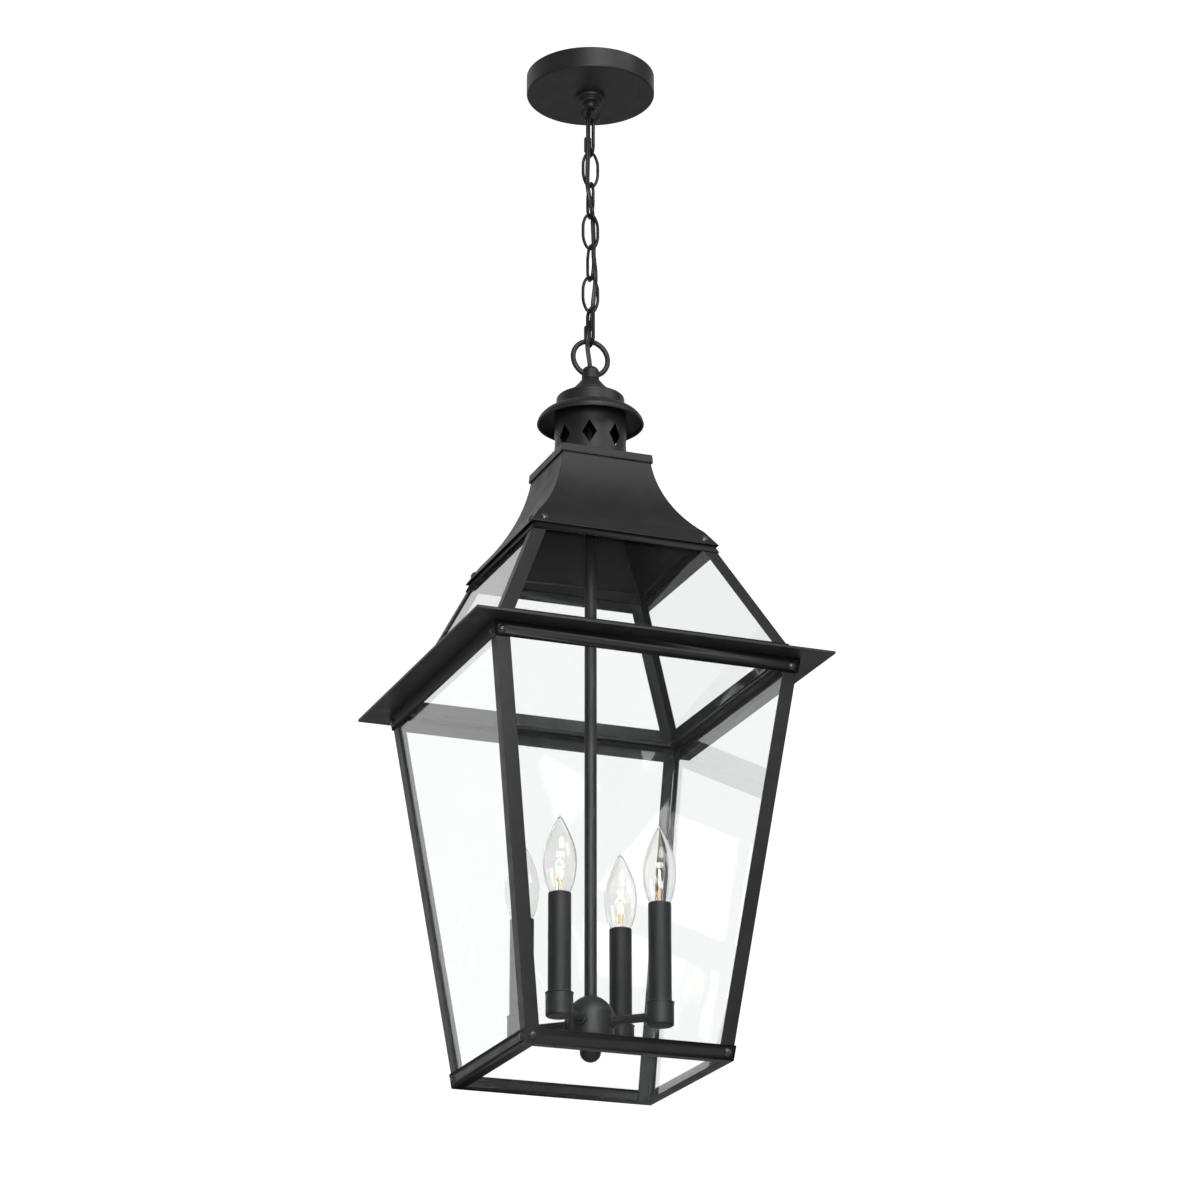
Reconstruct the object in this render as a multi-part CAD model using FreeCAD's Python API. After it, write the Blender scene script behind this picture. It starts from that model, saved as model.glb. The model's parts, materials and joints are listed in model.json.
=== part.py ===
import FreeCAD, Part
import math
import os

# Hanging lantern: ceiling canopy, chain of links, and a tapered four-sided lantern with four candle lights.
# Millimetres. The origin is on the lantern's axis in the ceiling plane, and +Z points up at the ceiling.
V = FreeCAD.Vector
ORIGIN = V(0, 0, 0)
UP = V(0, 0, 1)

# ceiling fittings
CANOPY_R = 73.4
CANOPY_H = 24.5
CANOPY_EDGE_R = 2.5
CANOPY_WALL = 1.2
BAR_LENGTH = 118.0
BAR_WIDTH = 22.0
BAR_T = 2.5
SLOT_SPACING = 88.9
SLOT_LENGTH = 14.0
SLOT_R = 2.5
NIPPLE_R = 5.1
NIPPLE_BORE_R = 3.3
NIPPLE_END_Z = -38.0
COLLAR_R = 16.85
COLLAR_NECK_R = 13.2
COLLAR_MID_Z = -29.0
COLLAR_END_Z = -34.0

# chain
LOOP_WIRE_R = 2.0
LOOP_R = 9.6
LOOP_Z = -49.7
QUICK_WIRE_R = 2.0
QUICK_LENGTH = 45.5
QUICK_HALF = 9.0
QUICK_GAP = 6.5
NUT_LENGTH = 18.0
NUT_FLAT_R = 3.7
NUT_CLEARANCE = 0.1
LINK_WIRE_R = 1.75
LINK_LENGTH = 42.7
LINK_HALF = 8.95
LINK_END_R = 6.0
LINK_END_ANGLE = 60.0
LINK_COUNT = 5
CONTACT_GAP = 0.04
RING_R = 20.65
RING_WIRE_R = 2.95

# loop boss, cap and chimney
BOSS_R = 9.8
BOSS_DOME_H = 6.0
BOSS_TOP_DROP = 10.4
BOSS_HEIGHT = 15.6
SEAT_R = 22.0
SEAT_H = 15.6
DOME_R = 38.0
DOME_H = 22.6
SHEET = 1.2
BRIM_R = 58.4
BRIM_H = 16.1
BRIM_BAND_H = 4.0
BRIM_BEAD_R = 1.2
CHIMNEY_R = 40.0
CHIMNEY_TOP_Z = -419.14
DIAMOND_W = 16.4
DIAMOND_H = 27.6
DIAMOND_Z = -457.8
DIAMONDS = 8

# roof
COLLAR_TOP_Z = -482.8
COLLAR_BOTTOM_Z = -492.4
COLLAR_TOP_HALF = 52.9
COLLAR_BOTTOM_HALF = 53.6
HOOD_NECK = (51.6, -492.4)
HOOD_MIDDLE = (68.3, -545.1)
HOOD_KNEE = (95.9, -583.4)
HOOD_FOOT = (107.9, -601.6)
HOOD_INSET = 1.6
ROOF_TOP = (98.4, -590.0)
ROOF_BOTTOM = (170.0, -741.0)
EAVE_HALF = 200.0
EAVE_OPENING = 158.0
EAVE_T = 3.0

# body
BODY_TOP = (172.0, -744.0)
BODY_BOTTOM = (113.9, -1169.3)
FRAME_T = 1.5
POST_WIDTH = 17.0
RAIL_HEIGHT = 16.0
RAIL_FLANGE = 12.0
GLASS_T = 2.0
GLASS_INSET = 3.3
GLASS_SIDE = 5.8
SCREW_R = 4.4
SCREW_HEAD_H = 2.5
SCREW_SHANK_R = 1.9
SCREW_HOLE_R = 2.1
SCREW_EDGE = 8.5

# stem and candle cluster
STEM_R = 6.65
STEM_BORE_R = 4.75
STEM_TOP_Z = -374.5
STEM_END_Z = -1139.0
HUB_R = 25.0
HUB_TOP_Z = -1086.0
HUB_SHOULDER_Z = -1104.0
HUB_BOTTOM_Z = -1129.0
FINIAL_R = 11.25
FINIAL_Z = -1144.5
ARM_R = 4.65
ARM_BORE_R = 3.65
ARM_Z = -1114.0
ARM_REACH = 79.3
CHECK_RING_R = 7.2
CUP_R = 14.5
CUP_TOP_Z = -1099.0
CUP_BOTTOM_Z = -1125.0
SLEEVE_R = 12.15
SLEEVE_WALL = 0.9
SLEEVE_TOP_Z = -993.0
SOCKET_R = 9.5
SOCKET_BORE_R = 6.05
BULB_CAP_R = 5.9
BULB_R = 17.75
BULB_WIDEST_Z = -962.0
BULB_TIP_Z = -908.4
BULB_WALL = 0.8

# supply cord, from inside the nipple, woven through the chain, into the loop boss
CORD_R = 1.8
CORD_ROUTE = [
    (0, 0, -14), (0, 0, -39.5),
    (-4.7, -4.4, -52.5), (-4.6, -4.7, -66),
    (-4.4, -4.3, -92), (-4.7, -4.4, -106),
    (-5.5, -4.4, -131), (-5.0, -4.2, -145),
    (4.3, 4.2, -170), (4.7, 4.4, -184),
    (5.7, 4.2, -209), (5.3, 4.5, -223),
    (4.6, -4.3, -248.5), (4.3, -4.5, -262.5),
    (4.2, 4.3, -287.5), (4.4, 4.6, -301.5),
    (-5.5, -5.7, -329), (-6.1, -5.5, -343),
    (0, 0, -364), (0, 0, -380),
]

# what follows from the sizes above
LOOP_BOTTOM_Z = LOOP_Z - LOOP_R
SIDES = ["front", "right", "back", "left"]
CORNERS = ["front_left", "front_right", "back_right", "back_left"]


def turned(shape, angle):
    """A copy of the shape, turned about the lantern's axis."""
    copy = shape.copy()
    copy.rotate(ORIGIN, UP, angle)
    return copy


def moved(shape, x, y, z):
    copy = shape.copy()
    copy.translate(V(x, y, z))
    return copy


def cylinder(radius, z_low, z_high, x=0.0, y=0.0):
    return Part.makeCylinder(radius, z_high - z_low, V(x, y, z_low))


def tube(radius, bore, z_low, z_high, x=0.0, y=0.0):
    return cylinder(radius, z_low, z_high, x, y).cut(cylinder(bore, z_low - 1, z_high + 1, x, y))


def hexagon(flat_radius, z_low, z_high):
    corner = flat_radius / math.cos(math.pi / 6)
    points = []
    for k in range(7):
        angle = k * math.pi / 3
        points.append(V(corner * math.cos(angle), corner * math.sin(angle), z_low))
    return Part.Face(Part.makePolygon(points)).extrude(V(0, 0, z_high - z_low))


def line(a, b):
    return Part.LineSegment(V(a[0], 0, a[1]), V(b[0], 0, b[1])).toShape()


def arc(a, b, c):
    return Part.Arc(V(a[0], 0, a[1]), V(b[0], 0, b[1]), V(c[0], 0, c[1])).toShape()


def spun(edges):
    """A solid of revolution about the axis from the closed outline of (radius, z) edges."""
    return Part.Face(Part.Wire(edges)).revolve(ORIGIN, UP, 360)


def spun_polygon(points):
    closed = points + points[:1]
    return spun([line(a, b) for a, b in zip(closed, closed[1:])])


def slope_through(top, bottom):
    """The half-width of a sloping square shape at a level, from its half-width and level at two places."""
    rate = (bottom[0] - top[0]) / (bottom[1] - top[1])
    return lambda z: top[0] + (z - top[1]) * rate


body_half = slope_through(BODY_TOP, BODY_BOTTOM)
roof_half = slope_through(ROOF_TOP, ROOF_BOTTOM)


def block(low, high):
    """A solid with flat faces between two four-cornered outlines given in the same order."""
    faces = [Part.Face(Part.makePolygon(low + low[:1])), Part.Face(Part.makePolygon(high + high[:1]))]
    for k in range(4):
        n = (k + 1) % 4
        faces.append(Part.Face(Part.makePolygon([low[k], low[n], high[n], high[k], low[k]])))
    solid = Part.Solid(Part.Shell(faces))
    if solid.Volume < 0:
        solid.reverse()
    return solid


def plank(half, z_top, z_bottom, outside, inside, width=None, margin=None):
    """A flat piece on the front face of a sloping square shape.

    It lies between two depths under the face. Its ends are mitred at the corners, or it is width wide from
    the left corner, or it stops margin short of both corners.
    """
    outlines = []
    for z in (z_bottom, z_top):
        w = half(z)
        outer = w - outside
        inner = w - inside
        left = (-outer, -inner)
        right = (outer, inner)
        if width is not None:
            right = (width - w, width - w)
        if margin is not None:
            left = (margin - w, margin - w)
            right = (w - margin, w - margin)
        face = [V(left[0], -outer, z), V(right[0], -outer, z)]
        rear = [V(right[1], -inner, z), V(left[1], -inner, z)]
        outlines.append(face + rear)
    return block(outlines[0], outlines[1])


def square_frustum(half_top, z_top, half_bottom, z_bottom):
    outlines = []
    for w, z in ((half_bottom, z_bottom), (half_top, z_top)):
        outlines.append([V(-w, -w, z), V(w, -w, z), V(w, w, z), V(-w, w, z)])
    return block(outlines[0], outlines[1])


def outward(top, bottom):
    """The direction square to the front face of a sloping square shape."""
    run = bottom[0] - top[0]
    drop = top[1] - bottom[1]
    length = math.hypot(run, drop)
    return V(0, -drop / length, run / length)


def along(shape, point, direction):
    """The shape, made about +Z at the origin, set at the point with its +Z along the direction."""
    copy = shape.copy()
    copy.Placement = FreeCAD.Placement(point, FreeCAD.Rotation(UP, direction))
    return copy


def around(pieces):
    """The pieces of the front face, repeated on all four faces."""
    return [turned(piece, 90 * k) for k in range(4) for piece in pieces]


def group(solids):
    return Part.makeCompound(solids)


def write(name, shape):
    shape.exportStep("parts/" + name + ".step")


# ---------------------------------------------------------------- ceiling fittings

def canopy():
    outer = cylinder(CANOPY_R, -CANOPY_H, 0)
    outer = outer.makeFillet(CANOPY_EDGE_R, [e for e in outer.Edges if e.BoundBox.ZMax < 1 - CANOPY_H])
    inner_r = CANOPY_R - CANOPY_WALL
    floor = CANOPY_WALL - CANOPY_H
    inner = cylinder(inner_r, floor, 1)
    inner_edges = [e for e in inner.Edges if e.BoundBox.ZMax < floor + 1]
    inner = inner.makeFillet(CANOPY_EDGE_R - CANOPY_WALL, inner_edges)
    return outer.cut(inner).cut(cylinder(NIPPLE_R + 0.1, -CANOPY_H - 1, 0))


def crossbar():
    bar = Part.makeBox(BAR_LENGTH, BAR_WIDTH, BAR_T, V(-BAR_LENGTH / 2, -BAR_WIDTH / 2, -BAR_T))
    bar = bar.makeFillet(4, [e for e in bar.Edges if abs(e.tangentAt(e.FirstParameter).z) > 0.9])
    reach = SLOT_LENGTH / 2 - SLOT_R
    for x in (-SLOT_SPACING / 2, SLOT_SPACING / 2):
        slot = Part.makeBox(2 * reach, 2 * SLOT_R, BAR_T + 2, V(x - reach, -SLOT_R, -BAR_T - 1))
        for end in (x - reach, x + reach):
            slot = slot.fuse(cylinder(SLOT_R, -BAR_T - 1, 1, end))
        bar = bar.cut(slot.removeSplitter())
    return bar.cut(cylinder(NIPPLE_R, -BAR_T - 1, 1)).cut(cylinder(1.9, -BAR_T - 1, 1, 20))


def ground_screw():
    head = hexagon(4.0, -BAR_T - 3.0, -BAR_T)
    head = head.cut(Part.makeBox(12, 1, 1.2, V(-6, -0.5, -BAR_T - 3.2)))
    return moved(head.fuse(cylinder(1.9, -BAR_T, -0.1)), 20, 0, 0)


def nipple():
    return tube(NIPPLE_R, NIPPLE_BORE_R, NIPPLE_END_Z, -0.1)


def nipple_nuts():
    nut = hexagon(8.0, -BAR_T - 3.5, -BAR_T).cut(cylinder(NIPPLE_R, -10, 1))
    lower = moved(nut, 0, 0, -CANOPY_H + CANOPY_WALL + BAR_T + 3.6)
    return group([nut, lower])


def canopy_collar():
    top = -CANOPY_H - 0.02
    foot_r = COLLAR_NECK_R - 1.5
    foot_z = COLLAR_END_Z + 1.5
    return spun([
        line((NIPPLE_R, top), (COLLAR_R - 1, top)),
        arc((COLLAR_R - 1, top), (COLLAR_R, (top + COLLAR_MID_Z) / 2), (COLLAR_R - 1, COLLAR_MID_Z)),
        line((COLLAR_R - 1, COLLAR_MID_Z), (COLLAR_NECK_R, COLLAR_MID_Z)),
        line((COLLAR_NECK_R, COLLAR_MID_Z), (COLLAR_NECK_R, foot_z)),
        arc((COLLAR_NECK_R, foot_z), (COLLAR_NECK_R - 0.5, COLLAR_END_Z + 0.4), (foot_r, COLLAR_END_Z)),
        line((foot_r, COLLAR_END_Z), (NIPPLE_R, COLLAR_END_Z)),
        line((NIPPLE_R, COLLAR_END_Z), (NIPPLE_R, top)),
    ])


def canopy_loop():
    ring = Part.makeTorus(LOOP_R, LOOP_WIRE_R, V(0, 0, LOOP_Z), V(0, 1, 0))
    top = COLLAR_END_Z - 0.02
    boss = spun([
        line((0, top), (8.2, top)),
        line((8.2, top), (8.2, top - 3.0)),
        arc((8.2, top - 3.0), (6.8, top - 5.6), (4.2, top - 7.4)),
        line((4.2, top - 7.4), (0, top - 7.4)),
        line((0, top - 7.4), (0, top)),
    ])
    whole = ring.fuse(boss)
    whole = whole.cut(cylinder(NIPPLE_R, NIPPLE_END_Z, 0))
    mouth = Part.makeCone(NIPPLE_BORE_R + 2, NIPPLE_BORE_R, 6, V(0, 0, LOOP_Z + 6.6))
    return whole.cut(cylinder(NIPPLE_BORE_R, LOOP_Z + 6, 0)).cut(mouth).removeSplitter()


# ---------------------------------------------------------------- chain

def swept(path_edges, radius, start, direction):
    """A round wire along a path that starts at a point in a direction."""
    section = Part.Wire(Part.Circle(start, direction, radius).toShape())
    return Part.Wire(path_edges).makePipeShell([section], True, False)


def stadium_wire(half, length, radius):
    """A loop of round wire with straight legs and half-round ends, in the X-Z plane about the origin."""
    leg = length / 2 - half
    edges = [
        Part.LineSegment(V(half, 0, 0), V(half, 0, leg)).toShape(),
        Part.Arc(V(half, 0, leg), V(0, 0, leg + half), V(-half, 0, leg)).toShape(),
        Part.LineSegment(V(-half, 0, leg), V(-half, 0, -leg)).toShape(),
        Part.Arc(V(-half, 0, -leg), V(0, 0, -leg - half), V(half, 0, -leg)).toShape(),
        Part.LineSegment(V(half, 0, -leg), V(half, 0, 0)).toShape(),
    ]
    return swept(edges, radius, V(half, 0, 0), UP)


def tapered_wire(half, length, radius, end_radius, end_angle):
    """A loop of round wire whose legs lean in towards small round ends, in the X-Z plane about the origin."""
    turn = math.radians(end_angle)
    end_z = length / 2 - end_radius
    joint = V(end_radius * math.sin(turn), 0, end_z + end_radius * math.cos(turn))
    shoulder_r = (half - joint.x) / (1 - math.sin(turn))
    shoulder_z = joint.z - shoulder_r * math.cos(turn)
    bow = (math.pi / 2 - turn) / 2
    middle = V(half - shoulder_r + shoulder_r * math.cos(bow), 0, shoulder_z + shoulder_r * math.sin(bow))
    corner = V(half, 0, shoulder_z)

    def flip(point, x, z):
        return V(point.x * x, 0, point.z * z)

    edges = [
        Part.LineSegment(flip(corner, 1, -1), corner).toShape(),
        Part.Arc(corner, middle, joint).toShape(),
        Part.Arc(joint, V(0, 0, length / 2), flip(joint, -1, 1)).toShape(),
        Part.Arc(flip(joint, -1, 1), flip(middle, -1, 1), flip(corner, -1, 1)).toShape(),
        Part.LineSegment(flip(corner, -1, 1), flip(corner, -1, -1)).toShape(),
        Part.Arc(flip(corner, -1, -1), flip(middle, -1, -1), flip(joint, -1, -1)).toShape(),
        Part.Arc(flip(joint, -1, -1), V(0, 0, -length / 2), flip(joint, 1, -1)).toShape(),
        Part.Arc(flip(joint, 1, -1), flip(middle, 1, -1), flip(corner, 1, -1)).toShape(),
    ]
    return swept(edges, radius, flip(corner, 1, -1), UP)


def nut_low_z():
    """The lower end of a quick link's nut, when it is closed, from the link's centre."""
    return QUICK_HALF - QUICK_LENGTH / 2 + 0.2


def quick_link():
    """A link with a gap in one leg, which its nut closes."""
    gap_low = nut_low_z() + 1.0
    cutter = cylinder(3, gap_low, gap_low + QUICK_GAP, -QUICK_HALF)
    return stadium_wire(QUICK_HALF, QUICK_LENGTH, QUICK_WIRE_R).cut(cutter)


def quick_nut():
    low = nut_low_z()
    nut = hexagon(NUT_FLAT_R, low, low + NUT_LENGTH)
    round_off = cylinder(NUT_FLAT_R * 1.1, low, low + NUT_LENGTH)
    nut = nut.common(round_off.makeChamfer(0.7, [e for e in round_off.Edges if e.Length > 6 and e.Closed]))
    nut = nut.cut(cylinder(QUICK_WIRE_R + NUT_CLEARANCE, low - 1, low + NUT_LENGTH + 1))
    return moved(nut, -QUICK_HALF, 0, 0)


def chain_levels():
    """Each link's name, centre level, turn about the axis and kind, and the level of the ring's top."""
    rows = []
    inside_z = LOOP_BOTTOM_Z
    wire_r = LOOP_WIRE_R
    plain = ["chain_link_%d" % (n + 1) for n in range(LINK_COUNT)]
    names = ["quick_link_upper"] + plain + ["quick_link_lower"]
    for k, name in enumerate(names):
        quick = name.startswith("quick")
        own_r = QUICK_WIRE_R if quick else LINK_WIRE_R
        length = QUICK_LENGTH if quick else LINK_LENGTH
        top_z = inside_z + wire_r + own_r + CONTACT_GAP
        rows.append((name, top_z - length / 2, 90 if k % 2 == 0 else 0, quick))
        inside_z = top_z - length
        wire_r = own_r
    return rows, inside_z + wire_r + RING_WIRE_R + CONTACT_GAP


def chain():
    rows, ring_top = chain_levels()
    pivots = [LOOP_BOTTOM_Z]
    for name, centre, turn, quick in rows:
        link = quick_link() if quick else tapered_wire(
            LINK_HALF, LINK_LENGTH, LINK_WIRE_R, LINK_END_R, LINK_END_ANGLE)
        # the left leg of a quick link carries the nut; turning by 270 puts it at the back, by 90 at the front
        angle = -turn if quick else turn
        write(name, moved(turned(link, angle), 0, 0, centre))
        if quick:
            write(name + "_nut", moved(turned(quick_nut(), angle), 0, 0, centre))
        pivots.append(centre - (QUICK_LENGTH if quick else LINK_LENGTH) / 2)
    print("hinge levels", [round(z, 3) for z in pivots])
    print("ring top", round(ring_top, 3))


def cord():
    """The cord's tube: straight runs joined by arcs as large as each pair of runs allows."""
    points = [V(*p) for p in CORD_ROUTE]
    edges = []
    last = points[0]
    radii = []
    for before, here, after in zip(points, points[1:], points[2:]):
        inward = (before - here).normalize()
        onward = (after - here).normalize()
        half_turn = (math.pi - inward.getAngle(onward)) / 2
        shorter = min((before - here).Length, (after - here).Length)
        radius = 0.45 * shorter / math.tan(half_turn)
        radii.append(round(radius, 1))
        start = here + inward * (0.45 * shorter)
        end = here + onward * (0.45 * shorter)
        middle = (inward + onward).normalize()
        deep = here + middle * (radius / math.cos(half_turn) - radius)
        edges.append(Part.LineSegment(last, start).toShape())
        edges.append(Part.Arc(start, deep, end).toShape())
        last = end
    edges.append(Part.LineSegment(last, points[-1]).toShape())
    path = Part.Wire(edges)
    solid = swept(edges, CORD_R, points[0], points[1] - points[0])
    print("cord radii", radii)
    print("cord length %.1f, volume %.1f of %.1f" % (
        path.Length, solid.Volume, math.pi * CORD_R ** 2 * path.Length))
    return solid


# ---------------------------------------------------------------- loop, cap and chimney

RING_TOP_Z = chain_levels()[1]
RING_Z = RING_TOP_Z - RING_R
BOSS_TOP_Z = RING_Z - BOSS_TOP_DROP
BOSS_BOTTOM_Z = BOSS_TOP_Z - BOSS_HEIGHT
SEAT_BOTTOM_Z = BOSS_BOTTOM_Z - SEAT_H
DOME_BOTTOM_Z = SEAT_BOTTOM_Z - DOME_H


def fixture_loop():
    ring = Part.makeTorus(RING_R, RING_WIRE_R, V(0, 0, RING_Z), V(0, 1, 0))
    shoulder = BOSS_TOP_Z - BOSS_DOME_H
    boss = spun([
        line((0, BOSS_TOP_Z), (3.4, BOSS_TOP_Z)),
        arc((3.4, BOSS_TOP_Z), (BOSS_R - 2.1, BOSS_TOP_Z - 2.2), (BOSS_R, shoulder)),
        line((BOSS_R, shoulder), (BOSS_R, BOSS_BOTTOM_Z)),
        line((BOSS_R, BOSS_BOTTOM_Z), (0, BOSS_BOTTOM_Z)),
        line((0, BOSS_BOTTOM_Z), (0, BOSS_TOP_Z)),
    ])
    whole = ring.fuse(boss)
    whole = whole.cut(cylinder(NIPPLE_BORE_R, BOSS_BOTTOM_Z - 1, BOSS_TOP_Z + 5))
    return whole.cut(cylinder(STEM_R, BOSS_BOTTOM_Z - 1, STEM_TOP_Z)).removeSplitter()


def loop_seat():
    top = BOSS_BOTTOM_Z - 0.02
    return spun([
        line((STEM_R, top), (BOSS_R - 0.4, top)),
        arc((BOSS_R - 0.4, top), (15.3, top - 7.4), (SEAT_R, SEAT_BOTTOM_Z + 0.6)),
        line((SEAT_R, SEAT_BOTTOM_Z + 0.6), (SEAT_R, SEAT_BOTTOM_Z)),
        line((SEAT_R, SEAT_BOTTOM_Z), (STEM_R, SEAT_BOTTOM_Z)),
        line((STEM_R, SEAT_BOTTOM_Z), (STEM_R, top)),
    ])


def vent_dome():
    """A spun drum: a shallow top, a round shoulder, a straight side and a lip rolled outward at the foot."""
    top = SEAT_BOTTOM_Z - 0.02
    start_r = SEAT_R - 1
    lip = DOME_BOTTOM_Z + 2.6
    lip_r = DOME_R + 0.6
    inner_r = DOME_R - SHEET
    return spun([
        line((STEM_R, top), (start_r, top)),
        arc((start_r, top), (30.0, top - 3.6), (36.2, top - 7.0)),
        arc((36.2, top - 7.0), (37.5, top - 8.0), (DOME_R, top - 9.4)),
        line((DOME_R, top - 9.4), (DOME_R, lip)),
        arc((DOME_R, lip), (lip_r, lip - 1.3), (DOME_R, DOME_BOTTOM_Z)),
        line((DOME_R, DOME_BOTTOM_Z), (inner_r, DOME_BOTTOM_Z)),
        line((inner_r, DOME_BOTTOM_Z), (inner_r, top - 9.7)),
        arc((inner_r, top - 9.7), (36.2, top - 8.8), (35.0, top - 8.0)),
        arc((35.0, top - 8.0), (29.4, top - 4.8), (start_r, top - SHEET)),
        line((start_r, top - SHEET), (STEM_R, top - SHEET)),
        line((STEM_R, top - SHEET), (STEM_R, top)),
    ])


def vent_brim():
    """A convex rain brim with an upright band and a rolled edge. Its flat middle rests on the chimney."""
    top = DOME_BOTTOM_Z - 0.02
    flat_r = DOME_R - 0.3
    seat_r = CHIMNEY_R + 0.6
    band = top - BRIM_H + BRIM_BAND_H
    edge_z = top - BRIM_H
    inner_r = BRIM_R - SHEET
    brim = spun([
        line((STEM_R, top), (flat_r, top)),
        arc((flat_r, top), (51.0, top - 4.2), (BRIM_R, band)),
        line((BRIM_R, band), (BRIM_R, edge_z)),
        line((BRIM_R, edge_z), (inner_r, edge_z)),
        line((inner_r, edge_z), (inner_r, band - 0.2)),
        arc((inner_r, band - 0.2), (50.4, top - 5.5), (seat_r, top - SHEET)),
        line((seat_r, top - SHEET), (STEM_R, top - SHEET)),
        line((STEM_R, top - SHEET), (STEM_R, top)),
    ])
    bead = Part.makeTorus(BRIM_R, BRIM_BEAD_R, V(0, 0, edge_z))
    return brim.fuse(bead).removeSplitter()


def vent_chimney():
    wall = tube(CHIMNEY_R, CHIMNEY_R - SHEET, COLLAR_TOP_Z + 0.02, CHIMNEY_TOP_Z)
    w = DIAMOND_W / 2
    h = DIAMOND_H / 2
    reach = CHIMNEY_R + 20
    corners = [(w, 0), (0, h), (-w, 0), (0, -h), (w, 0)]
    outline = [V(x, -reach, DIAMOND_Z + z) for x, z in corners]
    cutter = Part.Face(Part.makePolygon(outline)).extrude(V(0, 2 * reach, 0))
    step = 360 / DIAMONDS
    for k in range(DIAMONDS // 2):
        wall = wall.cut(turned(cutter, (k + 0.5) * step))
    return wall


# ---------------------------------------------------------------- roof

def roof_collar():
    plate_z = COLLAR_TOP_Z - FRAME_T
    outer = square_frustum(COLLAR_TOP_HALF, COLLAR_TOP_Z, COLLAR_BOTTOM_HALF, COLLAR_BOTTOM_Z)
    inner = square_frustum(
        COLLAR_TOP_HALF - SHEET, plate_z, COLLAR_BOTTOM_HALF - SHEET, COLLAR_BOTTOM_Z - 0.01)
    cap = outer.cut(inner).cut(cylinder(STEM_R, plate_z - 1, COLLAR_TOP_Z + 1))
    for k in range(4):
        vent = cylinder(9, plate_z - 1, COLLAR_TOP_Z + 1, 24, 0)
        cap = cap.cut(turned(vent, 45 + 90 * k))
    return cap


def flared_body(inset, z_top, overrun):
    """The space under the hood's curved sheet, as the common part of two extrusions of its outline."""
    def point(at):
        return V(at[0] - inset, 0, at[1])

    def other(at):
        return V(inset - at[0], 0, at[1])

    foot_drop = overrun * (HOOD_KNEE[1] - HOOD_FOOT[1]) / (HOOD_FOOT[0] - HOOD_KNEE[0])
    foot = (HOOD_FOOT[0] + overrun, HOOD_FOOT[1] - foot_drop)
    top_right = V(HOOD_NECK[0] - inset, 0, z_top)
    top_left = V(inset - HOOD_NECK[0], 0, z_top)
    edges = [
        Part.LineSegment(top_left, top_right).toShape(),
        Part.LineSegment(top_right, point(HOOD_NECK)).toShape(),
        Part.Arc(point(HOOD_NECK), point(HOOD_MIDDLE), point(HOOD_KNEE)).toShape(),
        Part.LineSegment(point(HOOD_KNEE), point(foot)).toShape(),
        Part.LineSegment(point(foot), other(foot)).toShape(),
        Part.LineSegment(other(foot), other(HOOD_KNEE)).toShape(),
        Part.Arc(other(HOOD_KNEE), other(HOOD_MIDDLE), other(HOOD_NECK)).toShape(),
        Part.LineSegment(other(HOOD_NECK), top_left).toShape(),
    ]
    reach = HOOD_FOOT[0] + 20
    along_y = Part.Face(Part.Wire(edges)).extrude(V(0, 2 * reach, 0))
    along_y.translate(V(0, -reach, 0))
    return along_y.common(turned(along_y, 90))


def hood_screw_places():
    """(point on the hood's front face, direction out of it) of the hood's two screws on that face."""
    z = (ROOF_TOP[1] + HOOD_FOOT[1]) / 2 + 1.3
    half = slope_through(HOOD_KNEE, HOOD_FOOT)(z)
    direction = outward(HOOD_KNEE, HOOD_FOOT)
    return [(V(side * (half - 11), -half, z), direction) for side in (-1, 1)]


def frame_screw_places():
    """The same for the four screws of a body face."""
    direction = outward(BODY_TOP, BODY_BOTTOM)
    places = []
    for z in (BODY_TOP[1] - SCREW_EDGE, BODY_BOTTOM[1] + SCREW_EDGE - 0.5):
        half = body_half(z)
        places += [(V(side * (half - SCREW_EDGE), -half, z), direction) for side in (-1, 1)]
    return places


def drilled(shape, places, depth):
    for point, direction in places:
        drill = Part.makeCylinder(SCREW_HOLE_R, depth + 2, V(0, 0, -depth))
        shape = shape.cut(along(drill, point, direction))
    return shape


def roof_hood():
    outer = flared_body(0, COLLAR_TOP_Z - FRAME_T - 0.2, 0)
    inner = flared_body(HOOD_INSET, COLLAR_TOP_Z + 5, 5)
    sheet = outer.cut(inner)
    for k in range(4):
        places = []
        for point, direction in hood_screw_places():
            turn = FreeCAD.Rotation(UP, 90 * k)
            places.append((turn.multVec(point), turn.multVec(direction)))
        sheet = drilled(sheet, places, 4)
    return sheet


def screw(length):
    """A round-head screw about +Z, with its head's underside at the origin."""
    head = spun([
        line((0, 0), (SCREW_R, 0)),
        line((SCREW_R, 0), (SCREW_R, 0.4)),
        arc((SCREW_R, 0.4), (SCREW_R * 0.72, SCREW_HEAD_H * 0.78), (0, SCREW_HEAD_H)),
        line((0, SCREW_HEAD_H), (0, 0)),
    ])
    driver = Part.makeBox(2 * SCREW_R, 0.9, 1.2, V(-SCREW_R, -0.45, SCREW_HEAD_H - 0.9))
    return head.cut(driver).fuse(cylinder(SCREW_SHANK_R, -length, 0)).removeSplitter()


def screws():
    front = []
    for point, direction in frame_screw_places():
        front.append(along(screw(2 * FRAME_T), point + direction * 0.02, direction))
    for point, direction in hood_screw_places():
        front.append(along(screw(4.6), point + direction * 0.02, direction))
    return around(front)


def angle_post(half, z_top, z_bottom, places, depth):
    """An L-section piece at the front left corner, behind the rails, with screw holes in both flanges."""
    front = drilled(plank(half, z_top, z_bottom, FRAME_T, 2 * FRAME_T, width=POST_WIDTH), places, depth)
    side = front.mirror(ORIGIN, V(1, -1, 0))
    return front.fuse(side).removeSplitter()


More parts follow.
